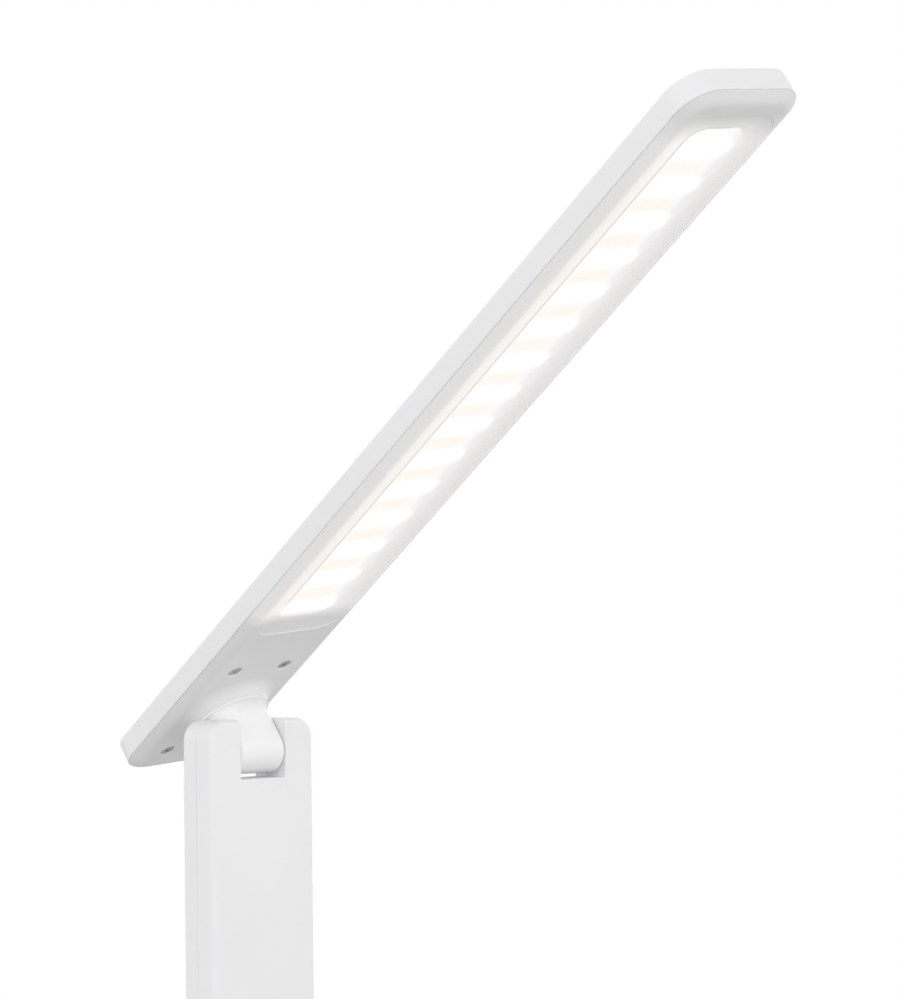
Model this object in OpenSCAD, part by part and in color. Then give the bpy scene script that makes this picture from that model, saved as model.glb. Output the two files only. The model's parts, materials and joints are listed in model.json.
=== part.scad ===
// Folding LED desk lamp. Lengths are in millimetres and angles in degrees.
// +X is the lamp's right seen from the front, +Y its back and +Z up.
// The origin is on the table, under the middle of the base.

/* [Pose] */
// Rise of the head above level
head_rise = 33; // [0:1:60]
// Turn of the head on its knuckle, positive towards +X
head_turn = -10.3; // [-45:0.1:45]

/* [Arm] */
// Width of the arm
arm_w = 46.5; // [45:0.5:50]
// Thickness of the arm
arm_t = 13.6; // [12.4:0.1:14]
// Distance between the fold shaft and the tilt shaft
arm_reach = 330; // [330:1:380]
// Length of the arm past each shaft
arm_end = 10.3; // [9.9:0.1:11]
// Radius of the arm's corners, seen from the front
arm_corner = 6.5; // [6:0.1:8]
// Rounding of the arm's long edges
arm_edge = 2; // [1:0.1:2.4]
// Depth of the rear shell, from the back face to the seam
arm_rear_t = 6.6; // [6:0.1:7]
// Wall of the arm shells
arm_wall = 1.6; // [1.2:0.1:1.8]
// Width of the notch at each end of the arm
notch_w = 20.3; // [20.3:0.1:21]
// Depth of the notch below the end of the arm
notch_d = 18.7; // [18.5:0.1:20]

/* [Hinges] */
// Radius of the barrels that turn in the notches
barrel_r = 7.05; // [6:0.05:7.1]
// Radius of the hinge shafts
shaft_r = 2.5; // [2:0.1:2.8]
// Radial running gap of shafts and stud
run_gap = 0.05; // [0.02:0.01:0.1]
// Thickness of the fibre friction washers
fibre_t = 0.3; // [0.3:0.1:0.8]
// Thickness of the steel cheeks and of the arm spine
spine_t = 1.5; // [1.2:0.1:2]
// Radius of the hollow swivel stud
stud_r = 3.5; // [3.2:0.1:4]
// Radius of the wire hole in the swivel stud
stud_bore_r = 1.4; // [1.2:0.1:1.8]

/* [Knuckle] */
// Radius of the knuckle's round flange
flange_r = 12.6; // [11:0.1:13]
// Distance from the tilt shaft to the top of the flange
flange_n = 13.5; // [13.5:0.1:15]
// Thickness of the flange's edge
flange_t = 0.9; // [0.8:0.1:1.2]
// Radius of the hollow curve from the flange out to the head's underside
collar_curve = 5; // [4:0.5:6]

/* [Head] */
// Length of the head
head_l = 345; // [340:0.5:352]
// Part of the head's length behind the swivel axis
head_tail = 38; // [36:0.5:42]
// Width of the head
head_w = 43.4; // [43:0.1:46]
// Height of the head shell's side wall
head_side = 7; // [7:0.1:9]
// Distance from the tilt shaft to the shell's rim
rim_n = 19.1; // [18.9:0.1:21]
// How far the underside bezel stands out of the rim
bezel_proud = 2.2; // [1.8:0.1:2.3]
// Strip of the shell's rim that the bezel leaves free
bezel_lap = 0.45; // [0.3:0.05:0.8]
// Width of the slope round the bezel's edge
bezel_slope = 3.4; // [3:0.1:3.6]
// Radius of the head's corners
head_corner = 10.5; // [8:0.5:12]
// Rounding of the head's top edge
head_edge = 0.4; // [0.2:0.1:2]
// Wall of the head shell and of the bezel
head_wall = 1.6; // [1.4:0.1:1.7]
// Width of the light window
window_w = 21; // [19:0.5:22]
// Start of the window, from the swivel axis
window_start = 51.5; // [51:0.5:54]
// End of the window, from the swivel axis
window_end = 291.5; // [285:0.5:294]
// Corner radius of the window
window_corner = 6; // [4:0.5:7]
// Width of the shallow slope round the window
slope_w = 6.9; // [6:0.1:7]
// Depth of the slope at the window
slope_d = 1.4; // [0.8:0.1:1.5]
// Depth of the diffuser in the window
diffuser_depth = 1.8; // [1.7:0.1:2]
// Thickness of the diffuser
diffuser_t = 1.2; // [1:0.1:1.5]
// Number of cool LEDs, with a warm one between each two
cool_count = 15; // [9:1:15]
// Distance from one cool LED to the next
led_pitch = 16.1; // [15:0.1:16.1]
// First cool LED, from the swivel axis
led_start = 56.5; // [55:0.5:57]
// Spacing of the four head screws along the head
screw_u = 47.6; // [46:0.1:48]
// Spacing of the four head screws across the head
screw_v = 19.6; // [19:0.1:21]
// Shift of the screw pattern along the head
screw_shift = -1; // [-1.5:0.1:0]

/* [Base] */
// Width of the base
base_w = 180; // [176:1:200]
// Depth of the base, front to back
base_d = 130; // [130:1:150]
// Height of the base above its sole pad
base_h = 18; // [18:0.5:22]
// Corner radius of the base
base_corner = 22; // [18:1:30]
// Rounding of the base's top edge
base_edge = 4; // [2:0.5:6]
// Wall of the base cover
base_wall = 2.2; // [2:0.1:2.4]
// How far the sole pad stands out below the base
sole_proud = 1; // [0.8:0.1:1.2]
// Height of the fold shaft above the base's top
stem_h = 30; // [30:0.5:34]
// Place of the fold shaft behind the middle of the base
stem_y = 36; // [34:1:36]
// Thickness of the steel counterweight
weight_t = 9; // [6:0.5:9]

/* [Hidden] */
$fn = 64;
eps = 0.01;
shell_white = "gainsboro";
moulded_white = "whitesmoke";
steel = "silver";
board_green = "seagreen";

// Heights and planes that the base pieces share
plate_t = 2;
base_z = sole_proud;
base_top = base_z + base_h;
plate_top = base_z + plate_t;
cover_in = base_top - base_wall;
fold_z = base_top + stem_h;
tilt_z = fold_z + arm_reach;

// Planes across the arm; the shafts lie in the middle of its thickness
arm_front_t = arm_t - arm_rear_t;
seam_y = arm_t / 2 - arm_rear_t;
arm_len = arm_reach + 2 * arm_end;
cavity_x = arm_w / 2 - arm_wall;
cavity_y = arm_t / 2 - arm_wall;

// Planes along a hinge shaft, from its middle outwards
notch_x = notch_w / 2;
barrel_x = notch_x - fibre_t - run_gap;
cheek_in = notch_x + arm_wall;
cheek_out = cheek_in + spine_t;
spring_t = 0.8;
spring_r = 4.2;
nut_t = 3;
nut_r = min(4.5, cavity_y - 0.1);
shaft_tail = 1.2;
shaft_head_t = 2.2;
shaft_end = cheek_out + spring_t + nut_t + shaft_tail;
fibre_r = 6.2;
cheek_half = cavity_y - 0.4;
cheek_up = 5;
cheek_down = 24;
spine_gap = 0.5;
spine_end = notch_d - arm_end + arm_wall + spine_gap;

// Screws: shank, head and pilot sizes
screw_r = 1.4;
screw_head_r = 2.7;
screw_head_t = 1.6;
screw_gap = 0.05;
boss_r = 2.8;

// Screw places on the arm, down from the tilt shaft
arm_screw_x = 17;
arm_screw_end = 40;
spine_screw_end = 60;
arm_screw_z = [-arm_screw_end, -arm_reach / 2, arm_screw_end - arm_reach];
spine_screw_z = [-spine_screw_end, spine_screw_end - arm_reach];
spine_head_t = 1.4;
spine_screw_l = 3;
screw_sink = 0.4;
arm_screw_l = arm_t - screw_sink - 2.4;

// Wire sizes and the wire's route in the arm
wire_r = 1.1;
wire_side_x = 15.8;
wire_mid_x = 6;
wire_y = -cavity_y + wire_r + 0.5;
wire_stop = 9;
wire_bend = 27;
wire_slope = 10;

// Planes along the swivel axis, up from the tilt shaft
glide_t = 0.4;
collar_n = flange_n + glide_t;
bezel_n = rim_n - bezel_proud;
bezel_in = bezel_n + head_wall;
head_top = rim_n + head_side;
head_in = head_top - head_wall;
bracket_t = 1.2;
bracket_n = bezel_in + bracket_t;
wave_t = 0.8;
stud_nut_t = 2;
stud_nut_r = 6.5;
stud_nut_n = bracket_n + wave_t;
stud_low = 4.5;
stud_top = stud_nut_n + stud_nut_t + 0.3;
flare_r = 5.15;
neck_n = flange_n - flange_t;
collar_h = bezel_n - collar_n;

// Head plan: the shell's and the bezel's centre and sizes
head_mid = head_l / 2 - head_tail;
bezel_gap = 0.1;
bezel_l = head_l - 2 * (head_wall + bezel_gap);
bezel_w = head_w - 2 * (head_wall + bezel_gap);
bezel_corner = head_corner - head_wall - bezel_gap;
bezel_foot = 0.3;
bezel_skirt = 1.5;
window_l = window_end - window_start;
window_mid = (window_end + window_start) / 2;
lens_lap = 2.5;
lens_n = bezel_n + diffuser_depth;
led_w = 3.5;
led_l = 2.8;
led_t = 0.8;
board_t = 1;
spreader_t = 0.8;
spreader_n = head_in - spreader_t;
board_n = spreader_n - board_t;
board_w = 24;
board_screw_at = [for (u = [window_start + 2, window_mid, window_end - 3], v = [-9, 9]) [u, v, 0]];
head_wire_r = 0.6;
head_wire_n = stud_top + 0.2 + head_wire_r;

// Base plan
stem_foot_r = 17;
stem_foot_t = 1.5;
stem_flare = 8;
stem_screw_x = 6;
stem_bore_r = 2;
clamp_t = 2;
inlet_body_h = 11;
inlet_body_w = 9;
inlet_body_l = 11.5;
inlet_z = plate_top + inlet_body_h / 2;
inlet_r = 2.8;
inlet_nose_r = 4.4;
inlet_depth = 9.5;
inlet_pin_r = 1;
panel_w = 84;
panel_d = 22;
panel_t = 1;
panel_corner = 8;
panel_y = -base_d / 2 + 24;
base_screw_in = 15;
base_screw_l = 9;
base_screw_head_t = 1.1;
base_boss_r = 3.4;
weight_side = 17;
weight_front = 18;
weight_back = 32;
weight_w = base_w - 2 * weight_side;
weight_d = base_d - weight_front - weight_back;
weight_y = (weight_front - weight_back) / 2;
weight_screw_x = weight_w / 2 - 10;
circuit_t = 1.6;
post_h = 3;
driver_w = 46;
driver_d = 22;
sensor_front = -base_d / 2 + base_screw_in + base_boss_r + 1;
sensor_d = 14;
sole_side = 20;
sole_front = 19;
sole_corner_cut = 10;
sole_w = base_w - 2 * sole_side;
sole_d = base_d - 2 * sole_front;
sole_corner = base_corner - sole_corner_cut;
sole_inset = 1;
base_screw_at = [for (x = [-1, 0, 1], y = [-1, 1]) if (x != 0 || y < 0)
    [x * (base_w / 2 - base_screw_in), y * (base_d / 2 - base_screw_in)]];

// ---- shared shapes -------------------------------------------------------

// Rectangle w by d with round corners of radius r
module round_rect(w, d, r) {
    square([w - 2 * r, d], center = true);
    square([w, d - 2 * r], center = true);
    for (x = [-1, 1], y = [-1, 1])
        translate([x * (w / 2 - r), y * (d / 2 - r)]) circle(r);
}

// Slab with round corners r and a top edge rounded by e
module soft_slab(w, d, h, r, e) {
    linear_extrude(h - e) round_rect(w, d, r);
    linear_extrude(h) round_rect(w - 2 * e, d - 2 * e, r - e);
    for (s = [-1, 1]) {
        translate([0, s * (d / 2 - e), h - e])
            rotate([0, 90, 0]) cylinder(r = e, h = w - 2 * r, center = true);
        translate([s * (w / 2 - e), 0, h - e])
            rotate([90, 0, 0]) cylinder(r = e, h = d - 2 * r, center = true);
    }
    for (x = [-1, 1], y = [-1, 1])
        translate([x * (w / 2 - r), y * (d / 2 - r), h - e])
            rotate_extrude() translate([r - e, 0]) circle(e);
}

// Cylinder along X from x0 to x1
module rod_x(r, x0, x1) {
    translate([x0, 0, 0]) rotate([0, 90, 0]) cylinder(r = r, h = x1 - x0);
}

// Tube along Z
module tube(r, bore, h) {
    difference() {
        cylinder(r = r, h = h);
        translate([0, 0, -eps]) cylinder(r = bore, h = h + 2 * eps);
    }
}

// Pan-head screw, head down at z = 0, shank up to z = l
module screw(l, head_r = screw_head_r, head_t = screw_head_t, r = screw_r) {
    difference() {
        union() {
            cylinder(r = head_r, h = head_t);
            cylinder(r = r, h = l);
        }
        for (a = [0, 90])
            rotate([0, 0, a]) translate([-head_r * 0.55, -0.35, -eps])
                cube([head_r * 1.1, 0.7, head_t * 0.6]);
    }
}

// Wire through a list of points
module wire(points, r) {
    for (i = [0 : len(points) - 2]) {
        step = points[i + 1] - points[i];
        reach = norm(step);
        translate(points[i])
            rotate([0, acos(step.z / reach), atan2(step.y, step.x)])
                cylinder(r = r, h = reach);
    }
    for (i = [1 : len(points) - 2])
        translate(points[i]) sphere(r);
}

// Section of a flare: from radius r at z = 0 out to r + f at z = f, hollow curve
module flare_section(r, f) {
    difference() {
        square([r + f, f]);
        translate([r + f, 0]) circle(f);
    }
}

// Section of the upper part of a flare: radius r at z = 0, hollow curve of radius f up to height h
module part_flare_section(r, f, h) {
    reach = sqrt(f * f - (f - h) * (f - h));
    difference() {
        square([r + reach, h]);
        translate([r + reach, h - f]) circle(f);
    }
}

// ---- places --------------------------------------------------------------

module at_fold() { translate([0, stem_y, fold_z]) children(); }

module at_tilt() { translate([0, stem_y, tilt_z]) children(); }

// Frame of the knuckle: +Z along the swivel axis, -Y along the level head
module on_knuckle() { at_tilt() rotate([-head_rise, 0, 0]) children(); }

// Frame of the head: +X towards the tip, +Z out of the head's top
module on_head() { on_knuckle() rotate([0, 0, head_turn - 90]) children(); }

// Both ends of the arm, as seen from each shaft with the arm below it
module both_ends() {
    children();
    translate([0, 0, -arm_reach]) mirror([0, 0, 1]) children();
}

// ---- arm -----------------------------------------------------------------

// Notch at the end of the arm, grown by g on its sides and floor
module notch(g) {
    translate([-notch_x - g, -arm_t, arm_end - notch_d - g])
        cube([notch_w + 2 * g, 2 * arm_t, notch_d + g + 1]);
}

// One arm shell of depth t, open at the seam, outer face up
module arm_tray(t) {
    difference() {
        translate([0, -arm_reach / 2, 0]) soft_slab(arm_w, arm_len, t, arm_corner, arm_edge);
        difference() {
            translate([0, -arm_reach / 2, -eps]) linear_extrude(t - arm_wall + eps)
                round_rect(arm_w - 2 * arm_wall, arm_len - 2 * arm_wall, arm_corner - arm_wall);
            rotate([-90, 0, 0]) both_ends() notch(arm_wall);
        }
        rotate([-90, 0, 0]) both_ends() notch(0);
    }
}

module arm_front_shell() {
    color(shell_white) at_tilt() difference() {
        union() {
            translate([0, seam_y, 0]) rotate([90, 0, 0]) arm_tray(arm_front_t);
            for (z = arm_screw_z, x = [-arm_screw_x, arm_screw_x])
                translate([x, seam_y, z]) rotate([90, 0, 0]) cylinder(r = boss_r, h = arm_front_t - 1);
            for (z = spine_screw_z)
                translate([0, -spine_t / 2, z])
                    rotate([90, 0, 0]) cylinder(r = boss_r, h = arm_t / 2 - spine_t / 2 - 1);
        }
        both_ends() rod_x(shaft_r + 2 * run_gap, -cheek_in - eps, cheek_in + eps);
        for (z = arm_screw_z, x = [-arm_screw_x, arm_screw_x])
            translate([x, seam_y + eps, z])
                rotate([90, 0, 0]) cylinder(r = screw_r + screw_gap, h = arm_front_t - 1.5);
        for (z = spine_screw_z)
            translate([0, 0, z])
                rotate([90, 0, 0]) cylinder(r = screw_r + screw_gap, h = cavity_y);
    }
}

module arm_rear_shell() {
    color(shell_white) at_tilt() difference() {
        union() {
            translate([0, seam_y, 0]) mirror([0, 1, 0]) rotate([90, 0, 0]) arm_tray(arm_rear_t);
            for (z = arm_screw_z, x = [-arm_screw_x, arm_screw_x])
                translate([x, seam_y, z]) rotate([-90, 0, 0]) cylinder(r = boss_r, h = arm_rear_t - 1);
        }
        both_ends() rod_x(shaft_r + 2 * run_gap, -cheek_in - eps, cheek_in + eps);
        for (z = arm_screw_z, x = [-arm_screw_x, arm_screw_x])
            translate([x, 0, z]) rotate([-90, 0, 0]) {
                cylinder(r = screw_r + screw_gap, h = arm_t);
                translate([0, 0, arm_t / 2 - screw_head_t - screw_sink])
                    cylinder(r = screw_head_r + screw_gap, h = arm_t);
            }
    }
}

module arm_screws() {
    color(steel) at_tilt()
        for (z = arm_screw_z, x = [-arm_screw_x, arm_screw_x])
            translate([x, arm_t / 2 - screw_sink, z]) rotate([90, 0, 0]) screw(arm_screw_l);
}

// Steel strip with a pair of cheeks at each end
module arm_spine() {
    color(steel) at_tilt() difference() {
        union() {
            translate([-cheek_out, -spine_t / 2, spine_end - arm_reach])
                cube([2 * cheek_out, spine_t, arm_reach - 2 * spine_end]);
            both_ends() for (s = [0, 1]) mirror([s, 0, 0])
                translate([cheek_in, -cheek_half, -cheek_down])
                    cube([spine_t, 2 * cheek_half, cheek_down + cheek_up]);
        }
        both_ends() rod_x(shaft_r + run_gap, -cheek_out - 1, cheek_out + 1);
        for (z = spine_screw_z)
            translate([0, 0, z]) rotate([90, 0, 0])
                cylinder(r = screw_r + screw_gap, h = arm_t, center = true);
    }
}

module spine_screws() {
    color(steel) at_tilt()
        for (z = spine_screw_z)
            translate([0, spine_t / 2 + spine_head_t, z])
                rotate([90, 0, 0]) screw(spine_t + spine_head_t + spine_screw_l, head_t = spine_head_t);
}

module arm_wire() {
    color("dimgray") at_tilt()
        wire([
            [wire_side_x, wire_y, -wire_stop],
            [wire_side_x, wire_y, -wire_bend],
            [wire_mid_x, wire_y, -wire_bend - wire_slope],
            [wire_mid_x, wire_y, wire_bend + wire_slope - arm_reach],
            [wire_side_x, wire_y, wire_bend - arm_reach],
            [wire_side_x, wire_y, wire_stop - arm_reach]
        ], wire_r);
}

// ---- hinge hardware, the same at both ends of the arm -----------------------

module hinge_shaft() {
    color(steel) {
        rod_x(shaft_r, -cheek_out - eps, shaft_end);
        rod_x(spring_r, -cheek_out - shaft_head_t, -cheek_out);
    }
}

module hinge_friction_washers() {
    color("dimgray") for (s = [0, 1]) mirror([s, 0, 0]) difference() {
        rod_x(fibre_r, notch_x - fibre_t, notch_x);
        rod_x(shaft_r + run_gap, notch_x - 1, notch_x + 1);
    }
}

module hinge_spring_washer() {
    color(steel) translate([cheek_out, 0, 0]) rotate([0, 90, 0])
        tube(spring_r, shaft_r + run_gap, spring_t);
}

module hinge_nut() {
    color(steel) translate([cheek_out + spring_t, 0, 0]) rotate([0, 90, 0]) difference() {
        cylinder(r = nut_r, h = nut_t, $fn = 6);
        translate([0, 0, -eps]) cylinder(r = shaft_r + run_gap, h = nut_t + 2 * eps);
    }
}

module fold_shaft() { at_fold() hinge_shaft(); }
module fold_friction_washers() { at_fold() hinge_friction_washers(); }
module fold_spring_washer() { at_fold() hinge_spring_washer(); }
module fold_nut() { at_fold() hinge_nut(); }
module tilt_shaft() { at_tilt() hinge_shaft(); }
module tilt_friction_washers() { at_tilt() hinge_friction_washers(); }
module tilt_spring_washer() { at_tilt() hinge_spring_washer(); }
module tilt_nut() { at_tilt() hinge_nut(); }

// ---- knuckle ---------------------------------------------------------------

// Barrel across the notch with a straight neck of height h on it
module barrel_and_neck(h) {
    rod_x(barrel_r, -barrel_x, barrel_x);
    translate([-barrel_x, -barrel_r, 0]) cube([2 * barrel_x, 2 * barrel_r, h]);
}

module knuckle() {
    color(moulded_white) on_knuckle() difference() {
        union() {
            barrel_and_neck(neck_n);
            translate([0, 0, neck_n - flare_r])
                rotate_extrude() flare_section(flange_r - flare_r, flare_r);
            translate([0, 0, neck_n]) cylinder(r = flange_r, h = flange_t);
        }
        rod_x(shaft_r + run_gap, -barrel_x - 1, barrel_x + 1);
        translate([0, 0, stud_low]) cylinder(r = stud_r, h = flange_n);
    }
}

module swivel_stud() {
    color(steel) on_knuckle() translate([0, 0, stud_low])
        tube(stud_r, stud_bore_r, stud_top - stud_low);
}

module swivel_spring_washer() {
    color(steel) on_knuckle() translate([0, 0, bracket_n])
        tube(stud_nut_r, stud_r + run_gap, wave_t);
}

module swivel_nut() {
    color(steel) on_knuckle() translate([0, 0, stud_nut_n]) difference() {
        cylinder(r = stud_nut_r, h = stud_nut_t, $fn = 6);
        translate([0, 0, -eps]) cylinder(r = stud_r + run_gap / 2, h = stud_nut_t + 2 * eps);
    }
}

// ---- head ------------------------------------------------------------------

// The four head screws' places
module head_screw_places() {
    for (u = [-1, 1], v = [-1, 1])
        translate([screw_shift + u * screw_u / 2, v * screw_v / 2, 0]) children();
}

module swivel_glide_ring() {
    color("dimgray") on_head() translate([0, 0, flange_n])
        tube(flange_r - 1, stud_r + 2 * run_gap, glide_t);
}

module swivel_bracket() {
    color(steel) on_head() translate([0, 0, bezel_in]) difference() {
        translate([screw_shift, 0, 0]) linear_extrude(bracket_t) round_rect(screw_u + 9, screw_v + 9, 3);
        translate([0, 0, -1]) cylinder(r = stud_r + run_gap, h = bracket_t + 2);
        translate([0, 0, -1]) head_screw_places() cylinder(r = screw_r + screw_gap, h = bracket_t + 2);
    }
}

module head_shell() {
    color(shell_white) on_head() difference() {
        union() {
            difference() {
                translate([head_mid, 0, rim_n])
                    soft_slab(head_l, head_w, head_side, head_corner, head_edge);
                translate([head_mid, 0, rim_n - eps]) linear_extrude(head_side - head_wall + eps)
                    round_rect(head_l - 2 * head_wall, head_w - 2 * head_wall, head_corner - head_wall);
            }
            head_screw_places() translate([0, 0, bracket_n]) cylinder(r = boss_r, h = head_in - bracket_n + 1);
        }
        head_screw_places() translate([0, 0, bracket_n - eps])
            cylinder(r = screw_r + screw_gap, h = head_in - bracket_n);
        for (p = board_screw_at) translate(p + [0, 0, head_in - eps])
            cylinder(r = 1 + screw_gap, h = head_wall - 0.5);
    }
}

// Section of the window's slope along one side of length l
module slope_section(l) {
    polygon([
        [-l / 2 - slope_w, -1],
        [l / 2 + slope_w, -1],
        [l / 2 + slope_w, 0],
        [l / 2, slope_d],
        [-l / 2, slope_d],
        [-l / 2 - slope_w, 0]
    ]);
}

// Shallow pocket whose four sides fall towards the window
module window_slope() {
    translate([window_mid, 0, bezel_n]) intersection() {
        rotate([90, 0, 0]) linear_extrude(head_w, center = true) slope_section(window_l);
        rotate([90, 0, 90]) linear_extrude(head_l, center = true) slope_section(window_w);
    }
}

// Section of the bezel's plate, sloped at both ends of its length l
module plate_section(l) {
    polygon([
        [-l / 2, -run_gap],
        [-l / 2, -bezel_foot],
        [bezel_slope - l / 2, -bezel_proud],
        [l / 2 - bezel_slope, -bezel_proud],
        [l / 2, -bezel_foot],
        [l / 2, -run_gap]
    ]);
}

// Plate that covers the shell's rim and slopes down to its flat middle
module bezel_plate() {
    plate_l = head_l - 2 * bezel_lap;
    plate_w = head_w - 2 * bezel_lap;
    translate([head_mid, 0, rim_n]) intersection() {
        translate([0, 0, -bezel_proud - 1]) linear_extrude(bezel_proud + 2)
            round_rect(plate_l, plate_w, head_corner - bezel_lap);
        rotate([90, 0, 0]) linear_extrude(head_w, center = true) plate_section(plate_l);
        rotate([90, 0, 90]) linear_extrude(head_l, center = true) plate_section(plate_w);
    }
}

// Underside plate with its window, screw recesses and swivel collar
module head_bezel() {
    skirt_n = rim_n + bezel_skirt;
    color(moulded_white) on_head() difference() {
        union() {
            difference() {
                union() {
                    bezel_plate();
                    translate([head_mid, 0, rim_n - bezel_foot]) linear_extrude(bezel_skirt + bezel_foot)
                        round_rect(bezel_l, bezel_w, bezel_corner);
                }
                translate([head_mid, 0, bezel_in]) linear_extrude(skirt_n)
                    round_rect(bezel_l - 5, bezel_w - 5, bezel_corner - 2.5);
            }
            translate([0, 0, collar_n]) rotate_extrude() part_flare_section(flange_r, collar_curve, collar_h);
            translate([window_mid, 0, bezel_n]) linear_extrude(diffuser_depth)
                round_rect(window_l + 2 * slope_w, window_w + 2 * slope_w, window_corner + slope_w / 2);
        }
        window_slope();
        translate([window_mid, 0, bezel_n - 1]) linear_extrude(diffuser_depth + 2)
            round_rect(window_l, window_w, window_corner);
        translate([0, 0, collar_n - 1]) cylinder(r = stud_r + run_gap, h = head_top);
        head_screw_places() {
            translate([0, 0, bezel_n - 1]) cylinder(r = screw_r + screw_gap, h = head_wall + 2);
            translate([0, 0, bezel_n - 1]) cylinder(r = screw_head_r * 0.8 + screw_gap, h = 1 + head_wall / 2);
        }
    }
}

module head_screws() {
    color(steel) on_head() head_screw_places() translate([0, 0, bezel_n + 0.1])
        screw(7, head_r = screw_head_r * 0.8, head_t = head_wall / 2 - 0.1);
}

module diffuser() {
    color("white") on_head() translate([window_mid, 0, lens_n]) linear_extrude(diffuser_t)
        round_rect(window_l + lens_lap * 2, window_w + lens_lap * 2, window_corner + lens_lap);
}

module led_board() {
    color("white") on_head() difference() {
        translate([window_start, -board_w / 2, board_n]) cube([window_l, board_w, board_t]);
        for (p = board_screw_at) translate(p + [0, 0, board_n - 1]) cylinder(r = 1 + screw_gap, h = 3);
    }
}

// A row of LEDs under the board
module led_row(count, first) {
    for (i = [0 : count - 1])
        translate([first + i * led_pitch - led_l / 2, -led_w / 2, board_n - led_t])
            cube([led_l, led_w, led_t]);
}

module cool_leds() { color("azure") on_head() led_row(cool_count, led_start); }

module warm_leds() { color("moccasin") on_head() led_row(cool_count - 1, led_start + led_pitch / 2); }

module heat_spreader() {
    color(steel) on_head() difference() {
        translate([window_start, -board_w / 2 - 2, spreader_n]) cube([window_l, board_w + 4, spreader_t]);
        for (p = board_screw_at) translate(p + [0, 0, spreader_n - 1]) cylinder(r = 1 + screw_gap, h = 3);
    }
}

module board_screws() {
    color(steel) on_head() for (p = board_screw_at) translate(p + [0, 0, board_n - 0.6])
        screw(0.6 + board_t + spreader_t + 1, head_r = 1.9, head_t = 0.6, r = 1);
}

module head_wire() {
    color("dimgray") on_head()
        wire([[0, 0, stud_low + 1], [0, 0, head_wire_n], [window_start, 0, head_wire_n]], head_wire_r);
}

// ---- base ------------------------------------------------------------------

module hinge_stem() {
    color(shell_white) at_fold() difference() {
        union() {
            mirror([0, 0, 1]) barrel_and_neck(stem_h);
            translate([0, 0, -stem_h + stem_foot_t + stem_flare]) mirror([0, 0, 1])
                rotate_extrude() flare_section(stem_foot_r - stem_flare, stem_flare);
            translate([0, 0, -stem_h]) cylinder(r = stem_foot_r, h = stem_foot_t);
        }
        rod_x(shaft_r + run_gap, -barrel_x - 1, barrel_x + 1);
        translate([0, 0, -stem_h - 1]) cylinder(r = stem_bore_r, h = stem_h - 4);
        for (s = [-1, 1]) translate([s * stem_screw_x, 0, -stem_h - 1])
            cylinder(r = screw_r + screw_gap, h = 15);
    }
}

module stem_holes() {
    cylinder(r = stem_bore_r, h = 2 * stem_h, center = true);
    for (s = [-1, 1]) translate([s * stem_screw_x, 0, 0])
        cylinder(r = screw_r + screw_gap, h = 2 * stem_h, center = true);
}

module stem_clamp_plate() {
    color(steel) translate([0, stem_y, cover_in - clamp_t]) difference() {
        linear_extrude(clamp_t) round_rect(34, 22, 3);
        stem_holes();
    }
}

module stem_screws() {
    color(steel) for (s = [-1, 1])
        translate([s * stem_screw_x, stem_y, cover_in - clamp_t - screw_head_t])
            screw(screw_head_t + clamp_t + base_wall + 12);
}

module stem_wire() {
    color("dimgray")
        translate([0, stem_y, cover_in - clamp_t - 1]) cylinder(r = wire_r, h = stem_h - 2);
}

module base_top_cover() {
    color(shell_white) difference() {
        union() {
            difference() {
                translate([0, 0, base_z]) soft_slab(base_w, base_d, base_h, base_corner, base_edge);
                translate([0, 0, base_z - eps]) linear_extrude(base_h - base_wall - base_edge / 2 + eps)
                    round_rect(base_w - 2 * base_wall, base_d - 2 * base_wall, base_corner - base_wall);
                translate([0, 0, base_z]) linear_extrude(base_h - base_wall)
                    round_rect(base_w - 2 * base_edge - 1, base_d - 2 * base_edge - 1, base_corner - base_edge);
            }
            for (p = base_screw_at) translate([p.x, p.y, plate_top])
                cylinder(r = base_boss_r, h = cover_in - plate_top + 1);
        }
        for (p = base_screw_at) translate([p.x, p.y, plate_top - 1])
            cylinder(r = screw_r + screw_gap, h = cover_in - plate_top);
        translate([0, stem_y, base_top]) stem_holes();
        translate([0, panel_y, base_top - panel_t]) linear_extrude(panel_t + 1)
            round_rect(panel_w, panel_d, panel_corner);
        translate([0, base_d / 2 + 1, inlet_z]) rotate([90, 0, 0])
            cylinder(r = inlet_nose_r + 0.1, h = base_wall + 2);
    }
}

module base_bottom_plate() {
    color("dimgray") difference() {
        translate([0, 0, base_z]) linear_extrude(plate_t)
            round_rect(base_w - 2 * base_wall - 0.2, base_d - 2 * base_wall - 0.2, base_corner - base_wall - 0.1);
        translate([0, 0, base_z - eps]) linear_extrude(sole_inset + eps)
            round_rect(sole_w, sole_d, sole_corner);
        for (p = base_screw_at) translate([p.x, p.y, base_z - eps]) {
            cylinder(r = screw_r + screw_gap, h = plate_t + 1);
            cylinder(r = screw_head_r + screw_gap, h = base_screw_head_t + 0.1);
        }
        for (x = [-1, 1]) translate([x * weight_screw_x, weight_y, base_z])
            cylinder(r = screw_r + screw_gap, h = plate_t + 1);
    }
}

module sole_pad() {
    color("darkslategray") linear_extrude(base_z + sole_inset)
        round_rect(sole_w - 0.4, sole_d - 0.4, sole_corner - 0.2);
}

module counterweight() {
    color("slategray") difference() {
        translate([0, weight_y, plate_top]) linear_extrude(weight_t) round_rect(weight_w, weight_d, 8);
        for (x = [-1, 1]) translate([x * weight_screw_x, weight_y, plate_top])
            cylinder(r = screw_r + screw_gap, h = 30, center = true);
    }
}

module weight_screws() {
    top = plate_top + weight_t + screw_head_t;
    color(steel) for (x = [-1, 1])
        translate([x * weight_screw_x, weight_y, top]) mirror([0, 0, 1])
            screw(top - base_z - sole_inset);
}

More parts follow.
